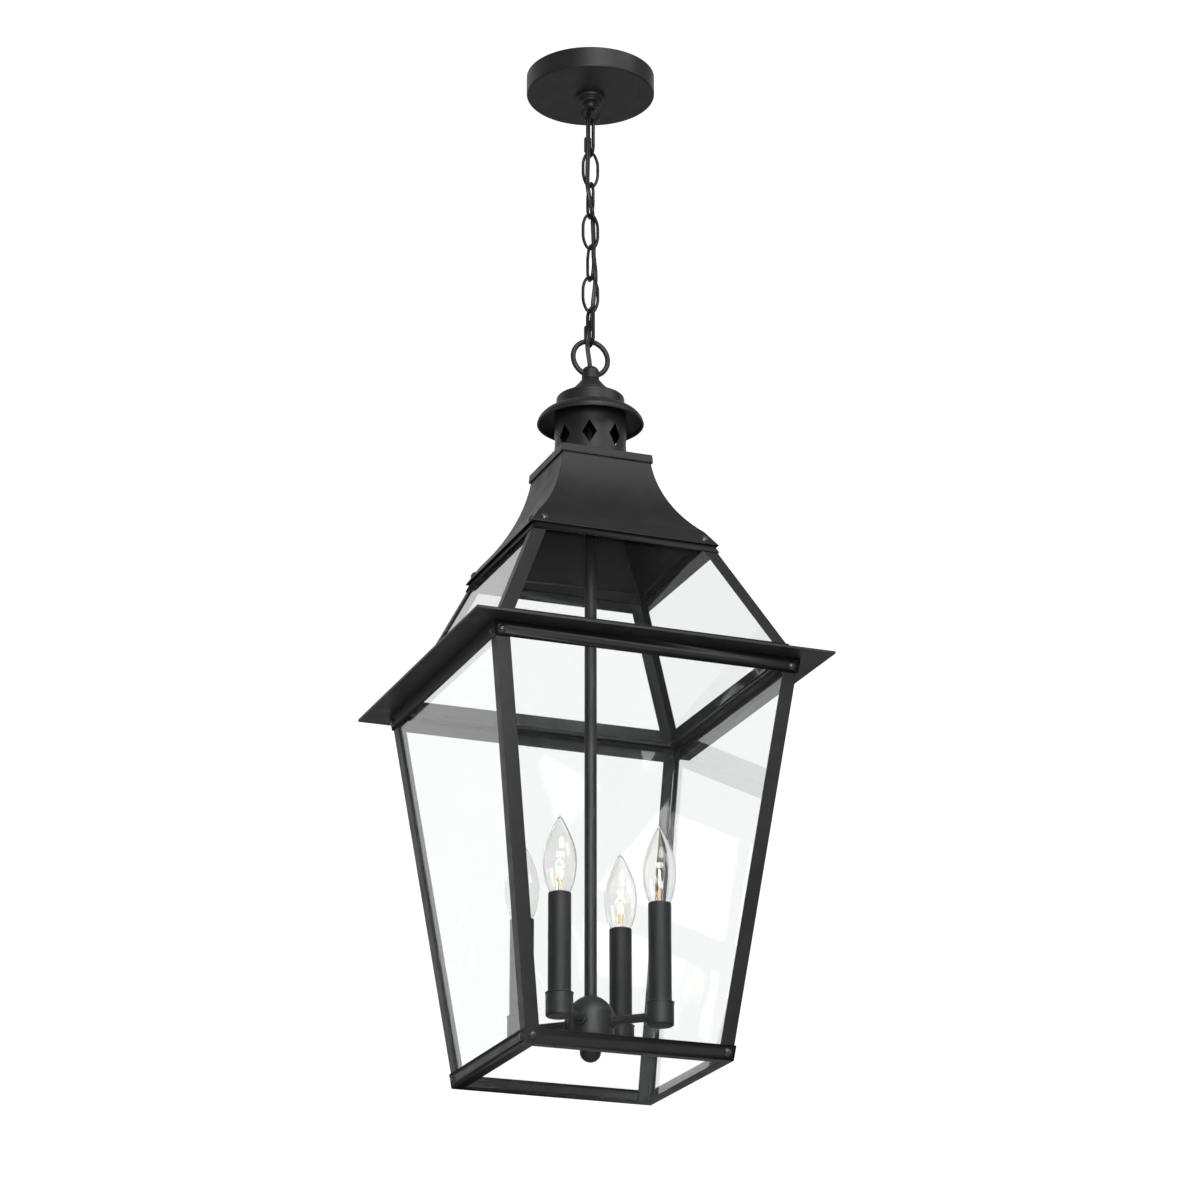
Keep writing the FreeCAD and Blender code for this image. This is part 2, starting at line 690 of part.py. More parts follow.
def rail(half, z_outer, z_inner, places, depth):
    """A mitred front rail: a flange on the face from z_outer to z_inner, and one inwards at z_outer."""
    up = FRAME_T if z_inner > z_outer else -FRAME_T
    face = plank(half, max(z_outer, z_inner), min(z_outer, z_inner), 0, FRAME_T)
    shelf = plank(half, max(z_outer, z_outer + up), min(z_outer, z_outer + up), 0, RAIL_FLANGE)
    return drilled(face.fuse(shelf).removeSplitter(), places, depth)


def roof_rails():
    places = hood_screw_places()
    upper = drilled(plank(roof_half, ROOF_TOP[1], ROOF_TOP[1] - RAIL_HEIGHT - 4, 0, FRAME_T), places, 8)
    lower = rail(roof_half, ROOF_BOTTOM[1], ROOF_BOTTOM[1] + RAIL_HEIGHT, [], 0)
    return around([upper, lower])


def eave_plate():
    z = ROOF_BOTTOM[1] - 0.01
    plate = square_frustum(EAVE_HALF, z, EAVE_HALF, z - EAVE_T + 0.02)
    opening = square_frustum(EAVE_OPENING, z + 1, EAVE_OPENING, z - EAVE_T - 1)
    return plate.cut(opening)


def roof():
    write("roof_collar", roof_collar())
    write("roof_hood", roof_hood())
    write("roof_rails", group(roof_rails()))
    write("eave_plate", eave_plate())
    shelf_z = ROOF_BOTTOM[1] + FRAME_T + 0.02
    rafter = angle_post(roof_half, ROOF_TOP[1], shelf_z, hood_screw_places(), 8)
    pane_z = ROOF_TOP[1] - 11
    depth = GLASS_INSET + GLASS_T
    pane = plank(roof_half, pane_z, shelf_z + 0.5, GLASS_INSET, depth, margin=GLASS_SIDE)
    for k in range(4):
        write("roof_rafter_" + CORNERS[k], turned(rafter, 90 * k))
        write("roof_glass_" + SIDES[k], turned(pane, 90 * k))


# ---------------------------------------------------------------- body

def body():
    places = frame_screw_places()
    top = rail(body_half, BODY_TOP[1], BODY_TOP[1] - RAIL_HEIGHT, places, 4)
    bottom = rail(body_half, BODY_BOTTOM[1], BODY_BOTTOM[1] + RAIL_HEIGHT, places, 4)
    write("body_top_rails", group(around([top])))
    write("body_bottom_rails", group(around([bottom])))
    z_top = BODY_TOP[1] - FRAME_T - 0.02
    z_bottom = BODY_BOTTOM[1] + FRAME_T + 0.02
    post = angle_post(body_half, z_top, z_bottom, places, 4)
    depth = GLASS_INSET + GLASS_T
    pane = plank(body_half, z_top - 0.5, z_bottom + 0.5, GLASS_INSET, depth, margin=GLASS_SIDE)
    for k in range(4):
        write("corner_post_" + CORNERS[k], turned(post, 90 * k))
        write("body_glass_" + SIDES[k], turned(pane, 90 * k))
    write("frame_screws", group(screws()))


# ---------------------------------------------------------------- stem and candle cluster

def stem_nuts():
    """The nut under the roof collar, which carries the lantern, and the nut inside the hub."""
    under_collar = hexagon(9.5, COLLAR_TOP_Z - FRAME_T - 6, COLLAR_TOP_Z - FRAME_T - 0.02)
    in_hub = hexagon(8.5, HUB_TOP_Z - 11, HUB_TOP_Z - 6)
    bore = cylinder(STEM_R, STEM_END_Z, STEM_TOP_Z)
    return group([under_collar.cut(bore), in_hub.cut(bore)])


def hub_body():
    wall = FRAME_T
    shell = spun([
        line((STEM_R, HUB_TOP_Z), (7.6, HUB_TOP_Z)),
        arc((7.6, HUB_TOP_Z), (18.6, HUB_TOP_Z - 7.4), (HUB_R, HUB_SHOULDER_Z)),
        line((HUB_R, HUB_SHOULDER_Z), (HUB_R, HUB_BOTTOM_Z)),
        line((HUB_R, HUB_BOTTOM_Z), (HUB_R - wall, HUB_BOTTOM_Z)),
        line((HUB_R - wall, HUB_BOTTOM_Z), (HUB_R - wall, HUB_SHOULDER_Z - 0.4)),
        arc((HUB_R - wall, HUB_SHOULDER_Z - 0.4), (17.7, HUB_TOP_Z - 8.6), (7.4, HUB_TOP_Z - wall)),
        line((7.4, HUB_TOP_Z - wall), (STEM_R, HUB_TOP_Z - wall)),
        line((STEM_R, HUB_TOP_Z - wall), (STEM_R, HUB_TOP_Z)),
    ])
    for k in range(4):
        hole = Part.makeCylinder(ARM_R, HUB_R + 5, V(0, 0, ARM_Z), V(1, 0, 0))
        shell = shell.cut(turned(hole, 45 + 90 * k))
    return shell


def hub_cover():
    z = HUB_BOTTOM_Z - 0.02
    return spun_polygon([(STEM_R, z), (HUB_R, z), (HUB_R, z - 1.0), (HUB_R - 4, z - 2.2), (STEM_R, z - 2.2)])


def finial():
    neck_z = HUB_BOTTOM_Z - 2.24
    ball = Part.makeSphere(FINIAL_R, V(0, 0, FINIAL_Z))
    neck = cylinder(9.6, FINIAL_Z, neck_z)
    return ball.fuse(neck).cut(cylinder(STEM_R, STEM_END_Z, neck_z + 1)).removeSplitter()


def arm():
    """A straight tube along +X from inside the hub's wall to inside the cup's wall."""
    start = HUB_R - FRAME_T
    length = ARM_REACH - CUP_R + 1 - start
    outer = Part.makeCylinder(ARM_R, length, V(start, 0, ARM_Z), V(1, 0, 0))
    return outer.cut(Part.makeCylinder(ARM_BORE_R, length + 2, V(start - 1, 0, ARM_Z), V(1, 0, 0)))


def check_ring():
    """The small turned ring where an arm leaves the hub."""
    ring = Part.makeCylinder(CHECK_RING_R, 2.8, V(HUB_R + 0.05, 0, ARM_Z), V(1, 0, 0))
    outer_edge = [e for e in ring.Edges if e.BoundBox.XMin > HUB_R + 2]
    ring = ring.makeFillet(1.0, outer_edge)
    return ring.cut(Part.makeCylinder(ARM_R, 10, V(HUB_R - 2, 0, ARM_Z), V(1, 0, 0)))


def cup():
    outer = cylinder(CUP_R, CUP_BOTTOM_Z, CUP_TOP_Z)
    outer = outer.makeFillet(2.5, [e for e in outer.Edges if e.BoundBox.ZMax < CUP_BOTTOM_Z + 1])
    outer = outer.fuse(Part.makeTorus(CUP_R - 0.3, 0.9, V(0, 0, CUP_TOP_Z - 0.9)))
    inner = cylinder(CUP_R - 1, CUP_BOTTOM_Z + 1.2, CUP_TOP_Z + 1)
    inner = inner.makeFillet(1.0, [e for e in inner.Edges if e.BoundBox.ZMax < CUP_BOTTOM_Z + 2])
    return outer.cut(inner)


def candle_cup():
    placed = moved(cup(), ARM_REACH, 0, 0)
    return placed.cut(Part.makeCylinder(ARM_R, 10, V(ARM_REACH - CUP_R - 5, 0, ARM_Z), V(1, 0, 0)))


def candle_sleeve():
    return tube(SLEEVE_R, SLEEVE_R - SLEEVE_WALL, CUP_BOTTOM_Z + 1.3, SLEEVE_TOP_Z, ARM_REACH)


def socket():
    """A lamp holder on its post, with a bore for the bulb's cap."""
    top = SLEEVE_TOP_Z - 11.5
    holder = cylinder(SOCKET_R, top - 30, top)
    post = cylinder(4.5, CUP_BOTTOM_Z + 1.25, top - 29)
    whole = holder.fuse(post).cut(cylinder(SOCKET_BORE_R, top - 13, top + 1))
    return moved(whole.removeSplitter(), ARM_REACH, 0, 0)


def bulb_outline(inset):
    """The half outline of a torpedo bulb's glass from its neck to its tip, inset by the glass's thickness."""
    neck = 5.6 - inset
    curve = Part.BSplineCurve()
    curve.interpolate([
        V(neck, 0, SLEEVE_TOP_Z - 10),
        V(10.6 - inset, 0, SLEEVE_TOP_Z),
        V(BULB_R - inset, 0, BULB_WIDEST_Z),
        V(10.4 - inset, 0, BULB_WIDEST_Z + 34),
        V(2.4 - inset / 2, 0, BULB_TIP_Z - 3.2 - inset),
        V(0, 0, BULB_TIP_Z - inset),
    ])
    return curve.toShape(), neck


def bulb():
    """(the hollow glass, the screw cap), at the end of an arm along +X."""
    base_z = SLEEVE_TOP_Z - 10
    solids = []
    for inset in (0, BULB_WALL):
        curve, neck = bulb_outline(inset)
        solids.append(spun([
            line((0, base_z), (neck, base_z)),
            curve,
            line((0, BULB_TIP_Z - inset), (0, base_z)),
        ]))
    glass = solids[0].cut(moved(solids[1], 0, 0, -0.001))
    cap = cylinder(BULB_CAP_R, base_z - 8, base_z - 0.02).fuse(cylinder(3.5, base_z - 10, base_z - 8))
    return [moved(glass, ARM_REACH, 0, 0), moved(cap.removeSplitter(), ARM_REACH, 0, 0)]


def cluster():
    write("stem", tube(STEM_R, STEM_BORE_R, STEM_END_Z, STEM_TOP_Z))
    write("stem_nuts", stem_nuts())
    write("stem_wires", cylinder(CORD_R, HUB_BOTTOM_Z + 20, CORD_ROUTE[-1][2]))
    write("hub_body", hub_body())
    write("hub_cover", hub_cover())
    write("finial", finial())
    # the front left arm points at the 225 degree corner
    angles = [225 + 90 * k for k in range(4)]
    for name, piece in (
        ("candle_arms", arm()),
        ("arm_rings", check_ring()),
        ("candle_cups", candle_cup()),
        ("candle_sleeves", candle_sleeve()),
        ("sockets", socket()),
    ):
        write(name, group([turned(piece, angle) for angle in angles]))
    for corner, angle in zip(CORNERS, angles):
        write("bulb_" + corner, group([turned(piece, angle) for piece in bulb()]))


def main():
    os.makedirs("parts", exist_ok=True)
    for make in (canopy, crossbar, ground_screw, nipple, nipple_nuts, canopy_collar, canopy_loop):
        write(make.__name__, make())
    chain()
    write("supply_cord", cord())
    for make in (fixture_loop, loop_seat, vent_dome, vent_brim, vent_chimney):
        write(make.__name__, make())
    roof()
    body()
    cluster()
    print("ring centre", round(RING_Z, 3), "boss", round(BOSS_TOP_Z, 3), round(BOSS_BOTTOM_Z, 3))
    print("dome bottom", round(DOME_BOTTOM_Z, 3))


main()
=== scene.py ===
import json
from math import atan2, cos, exp, hypot, pi, radians, sin

import bmesh
import bpy
from mathutils import Matrix, Vector


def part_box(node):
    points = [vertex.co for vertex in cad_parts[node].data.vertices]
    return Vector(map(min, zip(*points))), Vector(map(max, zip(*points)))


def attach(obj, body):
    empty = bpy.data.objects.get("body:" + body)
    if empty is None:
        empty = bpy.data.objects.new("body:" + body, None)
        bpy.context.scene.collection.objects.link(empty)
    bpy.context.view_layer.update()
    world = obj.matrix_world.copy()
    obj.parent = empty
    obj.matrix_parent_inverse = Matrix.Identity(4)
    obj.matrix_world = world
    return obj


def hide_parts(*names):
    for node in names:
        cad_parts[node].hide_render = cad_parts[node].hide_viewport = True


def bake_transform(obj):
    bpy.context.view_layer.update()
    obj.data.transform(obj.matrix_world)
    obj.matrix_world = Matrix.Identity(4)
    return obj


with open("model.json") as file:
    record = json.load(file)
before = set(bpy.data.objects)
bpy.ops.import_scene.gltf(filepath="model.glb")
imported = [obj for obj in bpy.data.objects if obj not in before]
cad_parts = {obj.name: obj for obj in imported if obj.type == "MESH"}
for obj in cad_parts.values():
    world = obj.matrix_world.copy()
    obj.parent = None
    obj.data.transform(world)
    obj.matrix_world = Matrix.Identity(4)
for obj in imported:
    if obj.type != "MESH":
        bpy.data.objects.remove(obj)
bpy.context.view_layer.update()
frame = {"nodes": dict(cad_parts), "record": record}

# Hanging lantern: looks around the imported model. Shapes are written in millimetres, +Z up, and scaled once.
MM = 0.001
CORNERS = ("front_left", "front_right", "back_right", "back_left")
LINKS = ["quick_link_upper"] + [f"chain_link_{k}" for k in range(1, 6)] + ["quick_link_lower"]
CHAIN_BODIES = ["ceiling_mount", "upper_quick_link", "link_1", "link_2", "link_3", "link_4", "link_5",
                "lower_quick_link", "lantern"]
LANTERN = "lantern"


def top_of(node):
    """The highest level of a CAD node, in millimetres."""
    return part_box(node)[1].z / MM


def bottom_of(node):
    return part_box(node)[0].z / MM


def middle_of(node):
    low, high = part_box(node)
    return (low + high) / (2 * MM)


# ---------------------------------------------------------------- materials

class Surface:
    """A material with one Principled shader, and short ways to add the nodes that feed it."""

    def __init__(self, name):
        self.material = bpy.data.materials.new(name)
        self.material.use_nodes = True
        self.tree = self.material.node_tree
        self.tree.nodes.clear()
        self.output = self.add("ShaderNodeOutputMaterial")
        self.shader = self.add("ShaderNodeBsdfPrincipled")
        self.link(self.shader.outputs[0], self.output.inputs["Surface"])
        self.place = self.add("ShaderNodeTexCoord").outputs["Object"]
        self.geometry = self.add("ShaderNodeNewGeometry")

    def add(self, kind, **sets):
        node = self.tree.nodes.new(kind)
        for key, value in sets.items():
            setattr(node, key, value)
        return node

    def link(self, a, b):
        self.tree.links.new(a, b)

    def set(self, **values):
        names = {"rough": "Roughness", "metal": "Metallic", "ior": "IOR", "glass": "Transmission Weight",
                 "coat": "Coat Weight", "coat_rough": "Coat Roughness", "specular": "Specular IOR Level",
                 "glow": "Emission Strength"}
        for key, value in values.items():
            self.shader.inputs[names[key]].default_value = value

    def stretched(self, x, y, z):
        node = self.add("ShaderNodeMapping")
        node.inputs["Scale"].default_value = (x, y, z)
        self.link(self.place, node.inputs["Vector"])
        return node.outputs[0]

    def noise(self, scale, detail=2.0, place=None, roughness=0.5):
        node = self.add("ShaderNodeTexNoise")
        node.inputs["Scale"].default_value = scale
        node.inputs["Detail"].default_value = detail
        node.inputs["Roughness"].default_value = roughness
        self.link(place or self.place, node.inputs["Vector"])
        return node.outputs["Fac"]

    def remap(self, value, low, high, to_low=0.0, to_high=1.0):
        node = self.add("ShaderNodeMapRange")
        for key, number in (("From Min", low), ("From Max", high), ("To Min", to_low), ("To Max", to_high)):
            node.inputs[key].default_value = number
        self.link(value, node.inputs["Value"])
        return node.outputs[0]

    def maths(self, operation, a, b):
        node = self.add("ShaderNodeMath", operation=operation)
        for socket, value in zip(node.inputs, (a, b)):
            if isinstance(value, (int, float)):
                socket.default_value = value
            else:
                self.link(value, socket)
        return node.outputs[0]

    def blend(self, share, a, b):
        """A colour from a to b by share. a is a colour or a socket."""
        node = self.add("ShaderNodeMix", data_type="RGBA")
        self.link(share, node.inputs["Factor"])
        colour_a, colour_b = [s for s in node.inputs if s.type == "RGBA"]
        for socket, value in ((colour_a, a), (colour_b, b)):
            if isinstance(value, tuple):
                socket.default_value = (*value, 1.0)
            else:
                self.link(value, socket)
        return [s for s in node.outputs if s.type == "RGBA"][0]

    def bump(self, height, strength, distance):
        node = self.add("ShaderNodeBump")
        node.inputs["Strength"].default_value = strength
        node.inputs["Distance"].default_value = distance
        self.link(height, node.inputs["Height"])
        self.link(node.outputs[0], self.shader.inputs["Normal"])

    def edges(self, radius, sharpest=0.9):
        """1 on outside edges, 0 on flat surfaces."""
        rounded = self.add("ShaderNodeBevel", samples=4)
        rounded.inputs["Radius"].default_value = radius
        dot = self.add("ShaderNodeVectorMath", operation="DOT_PRODUCT")
        self.link(rounded.outputs[0], dot.inputs[0])
        self.link(self.geometry.outputs["Normal"], dot.inputs[1])
        return self.remap(dot.outputs["Value"], 0.995, sharpest)

    def upward(self):
        """1 on surfaces that face up, where dust settles."""
        split = self.add("ShaderNodeSeparateXYZ")
        self.link(self.geometry.outputs["Normal"], split.inputs[0])
        return self.remap(split.outputs["Z"], 0.55, 0.98)

    def feed(self, **sockets):
        names = {"colour": "Base Color", "rough": "Roughness"}
        for key, socket in sockets.items():
            self.link(socket, self.shader.inputs[names[key]])


def coated(name, dark, light, scuffed_and_highlight_colour, rough, grain=900.0, grain_depth=0.00002, specular=0.3, scuff_and_highlight=0.4, dust=0.03):
    """Powder coat or paint on metal: fine grain, uneven gloss, edges paler (partly rubbed wear, partly a painted
    highlight) and a little dust on top.
    """
    s = Surface(name)
    s.set(specular=specular)
    tone = s.blend(s.noise(14, 4), dark, light)
    patchy = s.remap(s.noise(160, 4), 0.42, 0.68)
    # Paler, glossier edges: partly paint rubbed off, partly a painted highlight along every edge.
    scuff_and_highlight_mask = s.maths("MULTIPLY", s.maths("MULTIPLY", s.edges(0.0011), patchy), scuff_and_highlight)
    tone = s.blend(scuff_and_highlight_mask, tone, scuffed_and_highlight_colour)
    dusty = s.maths("MULTIPLY", s.maths("MULTIPLY", s.upward(), s.remap(s.noise(35, 5), 0.35, 0.75)), dust)
    tone = s.blend(dusty, tone, (0.30, 0.285, 0.26))
    gloss = s.remap(s.noise(45, 5), 0.25, 0.75, rough - 0.07, rough + 0.08)
    gloss = s.maths("SUBTRACT", gloss, s.maths("MULTIPLY", scuff_and_highlight_mask, 0.12))
    s.feed(colour=tone, rough=gloss)
    s.bump(s.noise(grain, 2), 0.35, grain_depth)
    return s.material


def bare_metal(name, colour, stain, rough, brushed=(1, 1, 1), bump=0.25):
    s = Surface(name)
    s.set(metal=1.0)
    s.feed(colour=s.blend(s.remap(s.noise(60, 5), 0.3, 0.8), colour, stain),
           rough=s.remap(s.noise(220, 4, s.stretched(*brushed)), 0.25, 0.75, rough - 0.08, rough + 0.12))
    s.bump(s.noise(700, 2, s.stretched(*brushed)), bump, 0.00003)
    return s.material


def see_through(name, tint, shade, ior=1.46, wave=0.00006, wave_scale=7.0, streak=None):
    """Clear glass that lets lamps light what is behind it."""
    s = Surface(name)
    s.set(glass=1.0, ior=ior)
    s.feed(colour=s.blend(s.remap(s.noise(5, 3), 0.3, 0.7), tint, tuple(c * 0.985 for c in tint)),
           rough=s.remap(s.noise(26, 5), 0.55, 0.85, 0.0, 0.003))
    s.bump(s.noise(wave_scale, 2, s.stretched(*streak) if streak else None), 0.5, wave)
    clear = s.add("ShaderNodeBsdfTransparent")
    clear.inputs["Color"].default_value = (*shade, 1.0)
    mix = s.add("ShaderNodeMixShader")
    s.link(s.add("ShaderNodeLightPath").outputs["Is Shadow Ray"], mix.inputs[0])
    s.link(s.shader.outputs[0], mix.inputs[1])
    s.link(clear.outputs[0], mix.inputs[2])
    s.link(mix.outputs[0], s.output.inputs["Surface"])
    return s.material


def plastic(name, dark, light, rough, grain=600.0, depth=0.00004, specular=0.5):
    s = Surface(name)
    s.set(specular=specular)
    s.feed(colour=s.blend(s.noise(40, 4), dark, light),
           rough=s.remap(s.noise(90, 4), 0.25, 0.75, rough - 0.06, rough + 0.08))
    s.bump(s.noise(grain, 3), 0.3, depth)
    return s.material


def glowing(name, colour, strength):
    s = Surface(name)
    s.feed(colour=s.blend(s.noise(900, 2), colour, tuple(c * 0.8 for c in colour)),
           rough=s.remap(s.noise(500, 2), 0.3, 0.7, 0.3, 0.5))
    s.shader.inputs["Emission Color"].default_value = (*colour, 1.0)
    s.set(glow=strength)
    return s.material


BLACK = (0.0085, 0.0085, 0.0088)
BLACK_PALE = (0.0125, 0.0125, 0.0128)
# Paler edge colour of the satin black coat: partly worn paint, partly a painted highlight.
SCUFF_AND_HIGHLIGHT = (0.085, 0.085, 0.085)
# In each coat below, the third colour is its paler edge colour and the edge amount scales it: partly worn paint,
# partly a painted highlight.
MATERIALS = {
    "black_metal": coated("satin_black_coat", BLACK, BLACK_PALE, SCUFF_AND_HIGHLIGHT, 0.42),
    "black_chain": coated("satin_black_chain", (0.005, 0.005, 0.0052), (0.008, 0.008, 0.0084), (0.07, 0.07, 0.07),
                          0.30, grain=1300, grain_depth=0.00001, specular=0.22, scuff_and_highlight=0.25, dust=0.0),
    "black_screw": coated("black_oxide_screw", (0.012, 0.012, 0.013), (0.02, 0.02, 0.022), (0.25, 0.25, 0.25),
                          0.27, grain=1500, grain_depth=0.00002, specular=0.7, scuff_and_highlight=0.9),
    "sleeve_black": coated("candle_tube_black", (0.009, 0.009, 0.0092), (0.012, 0.012, 0.0124),
                           (0.05, 0.05, 0.05), 0.46, grain=700, grain_depth=0.00001, specular=0.2, scuff_and_highlight=0.3),
    "zinc_steel": bare_metal("zinc_plated_steel", (0.62, 0.62, 0.60), (0.47, 0.47, 0.45), 0.34),
    "green_screw": coated("green_ground_screw", (0.02, 0.16, 0.04), (0.03, 0.22, 0.06), (0.4, 0.42, 0.38), 0.35),
    "cord_black": plastic("black_cord_jacket", (0.005, 0.005, 0.005), (0.008, 0.008, 0.008), 0.34,
                          depth=0.00001, specular=0.25),
    "holder_black": plastic("lamp_holder_black", (0.014, 0.014, 0.014), (0.022, 0.022, 0.022), 0.5),
    "clear_glass": see_through("clear_pane", (0.982, 0.992, 0.985), (0.93, 0.95, 0.94)),
    "bulb_glass": see_through("lamp_glass", (0.985, 0.985, 0.98), (0.94, 0.94, 0.93), ior=1.50,
                              wave=0.00012, wave_scale=120, streak=(1, 1, 0.06)),
}
BRASS = bare_metal("lamp_cap_brass", (0.78, 0.60, 0.32), (0.60, 0.43, 0.22), 0.28)
MOUNT_GLASS = see_through("lamp_mount_glass", (0.95, 0.93, 0.88), (0.9, 0.88, 0.84), ior=1.5, wave_scale=300)
# The lead wires glow faintly: a painted glow, since only the filament gives light.
LEAD_WIRE_PAINTED_GLOW = glowing("lamp_lead_wire_painted_glow", (0.85, 0.48, 0.16), 0.35)
FILAMENT = glowing("lamp_filament", (1.0, 0.62, 0.26), 40.0)

slot_of = {}
for part in frame["record"]["subparts"]:
    slot_of[part["node"]] = part["material_slot"]
for node, obj in frame["nodes"].items():
    for material_slot in obj.material_slots:
        material_slot.material = MATERIALS[slot_of[node]]


# ---------------------------------------------------------------- mesh helpers

def lathe(outline, segments=72):
    """(vertices, faces) of the closed outline of (radius, level) turned about Z."""
    vertices, faces, rows = [], [], []
    for radius, z in outline:
        count = 1 if radius < 1e-6 else segments
        rows.append([len(vertices) + k for k in range(count)])
        for k in range(count):
            angle = 2 * pi * k / segments
            vertices.append(Vector((radius * cos(angle), radius * sin(angle), z)))
    for a, b in zip(rows, rows[1:] + rows[:1]):
        if len(a) == 1 and len(b) == 1:
            continue
        for k in range(segments):
            n = (k + 1) % segments
            if len(a) == 1:
                faces.append((a[0], b[k], b[n]))
            elif len(b) == 1:
                faces.append((a[k], b[0], a[n]))
            else:
                faces.append((a[k], b[k], b[n], a[n]))
    return vertices, faces


def square_lathe(outline, corner):
    """The same for a square shape: the closed outline of (half-width, level), with slightly rounded corners."""
    steps = 3
    vertices, faces, rows = [], [], []
    for half, z, radius in [(h, z, min(corner, h)) for h, z in outline]:
        row = []
        for k in range(4):
            for step in range(steps + 1):
                angle = pi / 2 * (k + step / steps)
                side_x = 1 if k in (0, 3) else -1
                side_y = 1 if k in (0, 1) else -1
                row.append(len(vertices))
                vertices.append(Vector((side_x * (half - radius) + radius * cos(angle),
                                        side_y * (half - radius) + radius * sin(angle), z)))
        rows.append(row)
    for a, b in zip(rows, rows[1:] + rows[:1]):
        for k in range(len(a)):
            n = (k + 1) % len(a)
            faces.append((a[k], b[k], b[n], a[n]))
    return vertices, faces


def sweep(path, radius, sides=20, closed=True):
    """A round wire along a path of (x, z) in the X-Z plane. radius is a number or a function of (index, angle)."""
    vertices, faces = [], []
    count = len(path)
    for k, (x, z) in enumerate(path):
        before = path[k - 1] if closed or k > 0 else path[k]
        after = path[(k + 1) % count] if closed or k < count - 1 else path[k]
        tangent = Vector((after[0] - before[0], 0, after[1] - before[1])).normalized()
        across = Vector((tangent.z, 0, -tangent.x))
        for s in range(sides):
            angle = 2 * pi * s / sides
            r = radius(k, angle) if callable(radius) else radius
            vertices.append(Vector((x, 0, z)) + across * (r * cos(angle)) + Vector((0, r * sin(angle), 0)))
    for k in range(count if closed else count - 1):
        a, b = k * sides, ((k + 1) % count) * sides
        for s in range(sides):
            n = (s + 1) % sides
            faces.append((a + s, b + s, b + n, a + n))
    if not closed:
        faces.append(tuple(range(sides)))
        faces.append(tuple((count - 1) * sides + s for s in reversed(range(sides))))
    return vertices, faces


def bow(a, b, c, steps=10):
    """Points on the circle through a, b and c, from a to c, without a itself."""
    ax, ay = a
    bx, by = b
    cx, cy = c
    d = 2 * (ax * (by - cy) + bx * (cy - ay) + cx * (ay - by))
    ux = ((ax * ax + ay * ay) * (by - cy) + (bx * bx + by * by) * (cy - ay) + (cx * cx + cy * cy) * (ay - by)) / d
    uy = ((ax * ax + ay * ay) * (cx - bx) + (bx * bx + by * by) * (ax - cx) + (cx * cx + cy * cy) * (bx - ax)) / d
    radius = hypot(ax - ux, ay - uy)
    start = atan2(ay - uy, ax - ux)
    middle = (atan2(by - uy, bx - ux) - start) % (2 * pi)
    turn = (atan2(cy - uy, cx - ux) - start) % (2 * pi)
    if middle > turn:
        turn -= 2 * pi
    return [(ux + radius * cos(start + turn * k / steps), uy + radius * sin(start + turn * k / steps))
            for k in range(1, steps + 1)]


def through(points, steps=10):
    """A smooth line through the points."""
    ends = [points[0]] + list(points) + [points[-1]]
    line = [points[0]]
    for p0, p1, p2, p3 in zip(ends, ends[1:], ends[2:], ends[3:]):
        for k in range(1, steps + 1):
            t = k / steps
            line.append(tuple(0.5 * (2 * b + (c - a) * t + (2 * a - 5 * b + 4 * c - d) * t * t
                                     + (3 * b - a - 3 * c + d) * t ** 3)
                              for a, b, c, d in zip(p0, p1, p2, p3)))
    return line


def joined(*shapes):
    vertices, faces = [], []
    for more_vertices, more_faces in shapes:
        first = len(vertices)
        vertices += more_vertices
        faces += [tuple(first + k for k in face) for face in more_faces]
    return vertices, faces


def placed(shape, matrix):
    return [matrix @ v for v in shape[0]], shape[1]


def at(x, y, z=0.0, turn=0.0):
    return Matrix.Translation((x, y, z)) @ Matrix.Rotation(radians(turn), 4, "Z")


def new_object(name, shape, scale=MM):
    vertices, faces = shape
    mesh = bpy.data.meshes.new(name)
    mesh.from_pydata([v * scale for v in vertices], [], faces)
    work = bmesh.new()
    work.from_mesh(mesh)
    bmesh.ops.recalc_face_normals(work, faces=work.faces)
    work.to_mesh(mesh)
    work.free()
    mesh.shade_smooth()
    obj = bpy.data.objects.new(name, mesh)
    bpy.context.scene.collection.objects.link(obj)
    return obj


def rounded_edges(obj, width, segments=2, angle=32, clamp=True):
    bevel = obj.modifiers.new("rounded_edges", "BEVEL")
    bevel.width = width * MM
    bevel.segments = segments
    bevel.limit_method = "ANGLE"
    bevel.angle_limit = radians(angle)
    bevel.use_clamp_overlap = clamp
    obj.modifiers.new("flat_faces", "WEIGHTED_NORMAL").keep_sharp = True


def belongs(obj, body, slot, replaces=(), material=None):
    obj.data.materials.clear()
    obj.data.materials.append(material or MATERIALS[slot])
    if body:
        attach(obj, body)
    if replaces:
        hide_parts(*replaces)
    return obj


def piece(name, shape, body, slot, replaces=(), edge=None, sharp=38, material=None):
    """A finished piece. edge is how far its outside edges are rounded; without one, edges over sharp stay sharp."""
    obj = new_object(name, shape)
    if edge:
        rounded_edges(obj, edge)
    else:
        obj.data.set_sharp_from_angle(angle=radians(sharp))
    return belongs(obj, body, slot, replaces, material)


def copied(name, node, flatten=True):
    """A new object with the CAD node's shape, its triangles merged into flat faces."""
    work = bmesh.new()
    work.from_mesh(frame["nodes"][node].data)
    bmesh.ops.remove_doubles(work, verts=work.verts, dist=0.000002)
    if flatten:
        bmesh.ops.dissolve_limit(work, angle_limit=radians(0.6), verts=work.verts, edges=work.edges)
    work.verts.index_update()
    shape = [v.co.copy() for v in work.verts], [tuple(v.index for v in f.verts) for f in work.faces]
    work.free()
    return new_object(name, shape, scale=1.0)


def folded_sheet(node, width=0.45, body=LANTERN):
    """A sheet-metal piece with its folds and cut edges rounded as the coat rounds them."""
    obj = copied(node + "_coated", node)
    rounded_edges(obj, width, clamp=False)
    return belongs(obj, body, slot_of[node], [node])


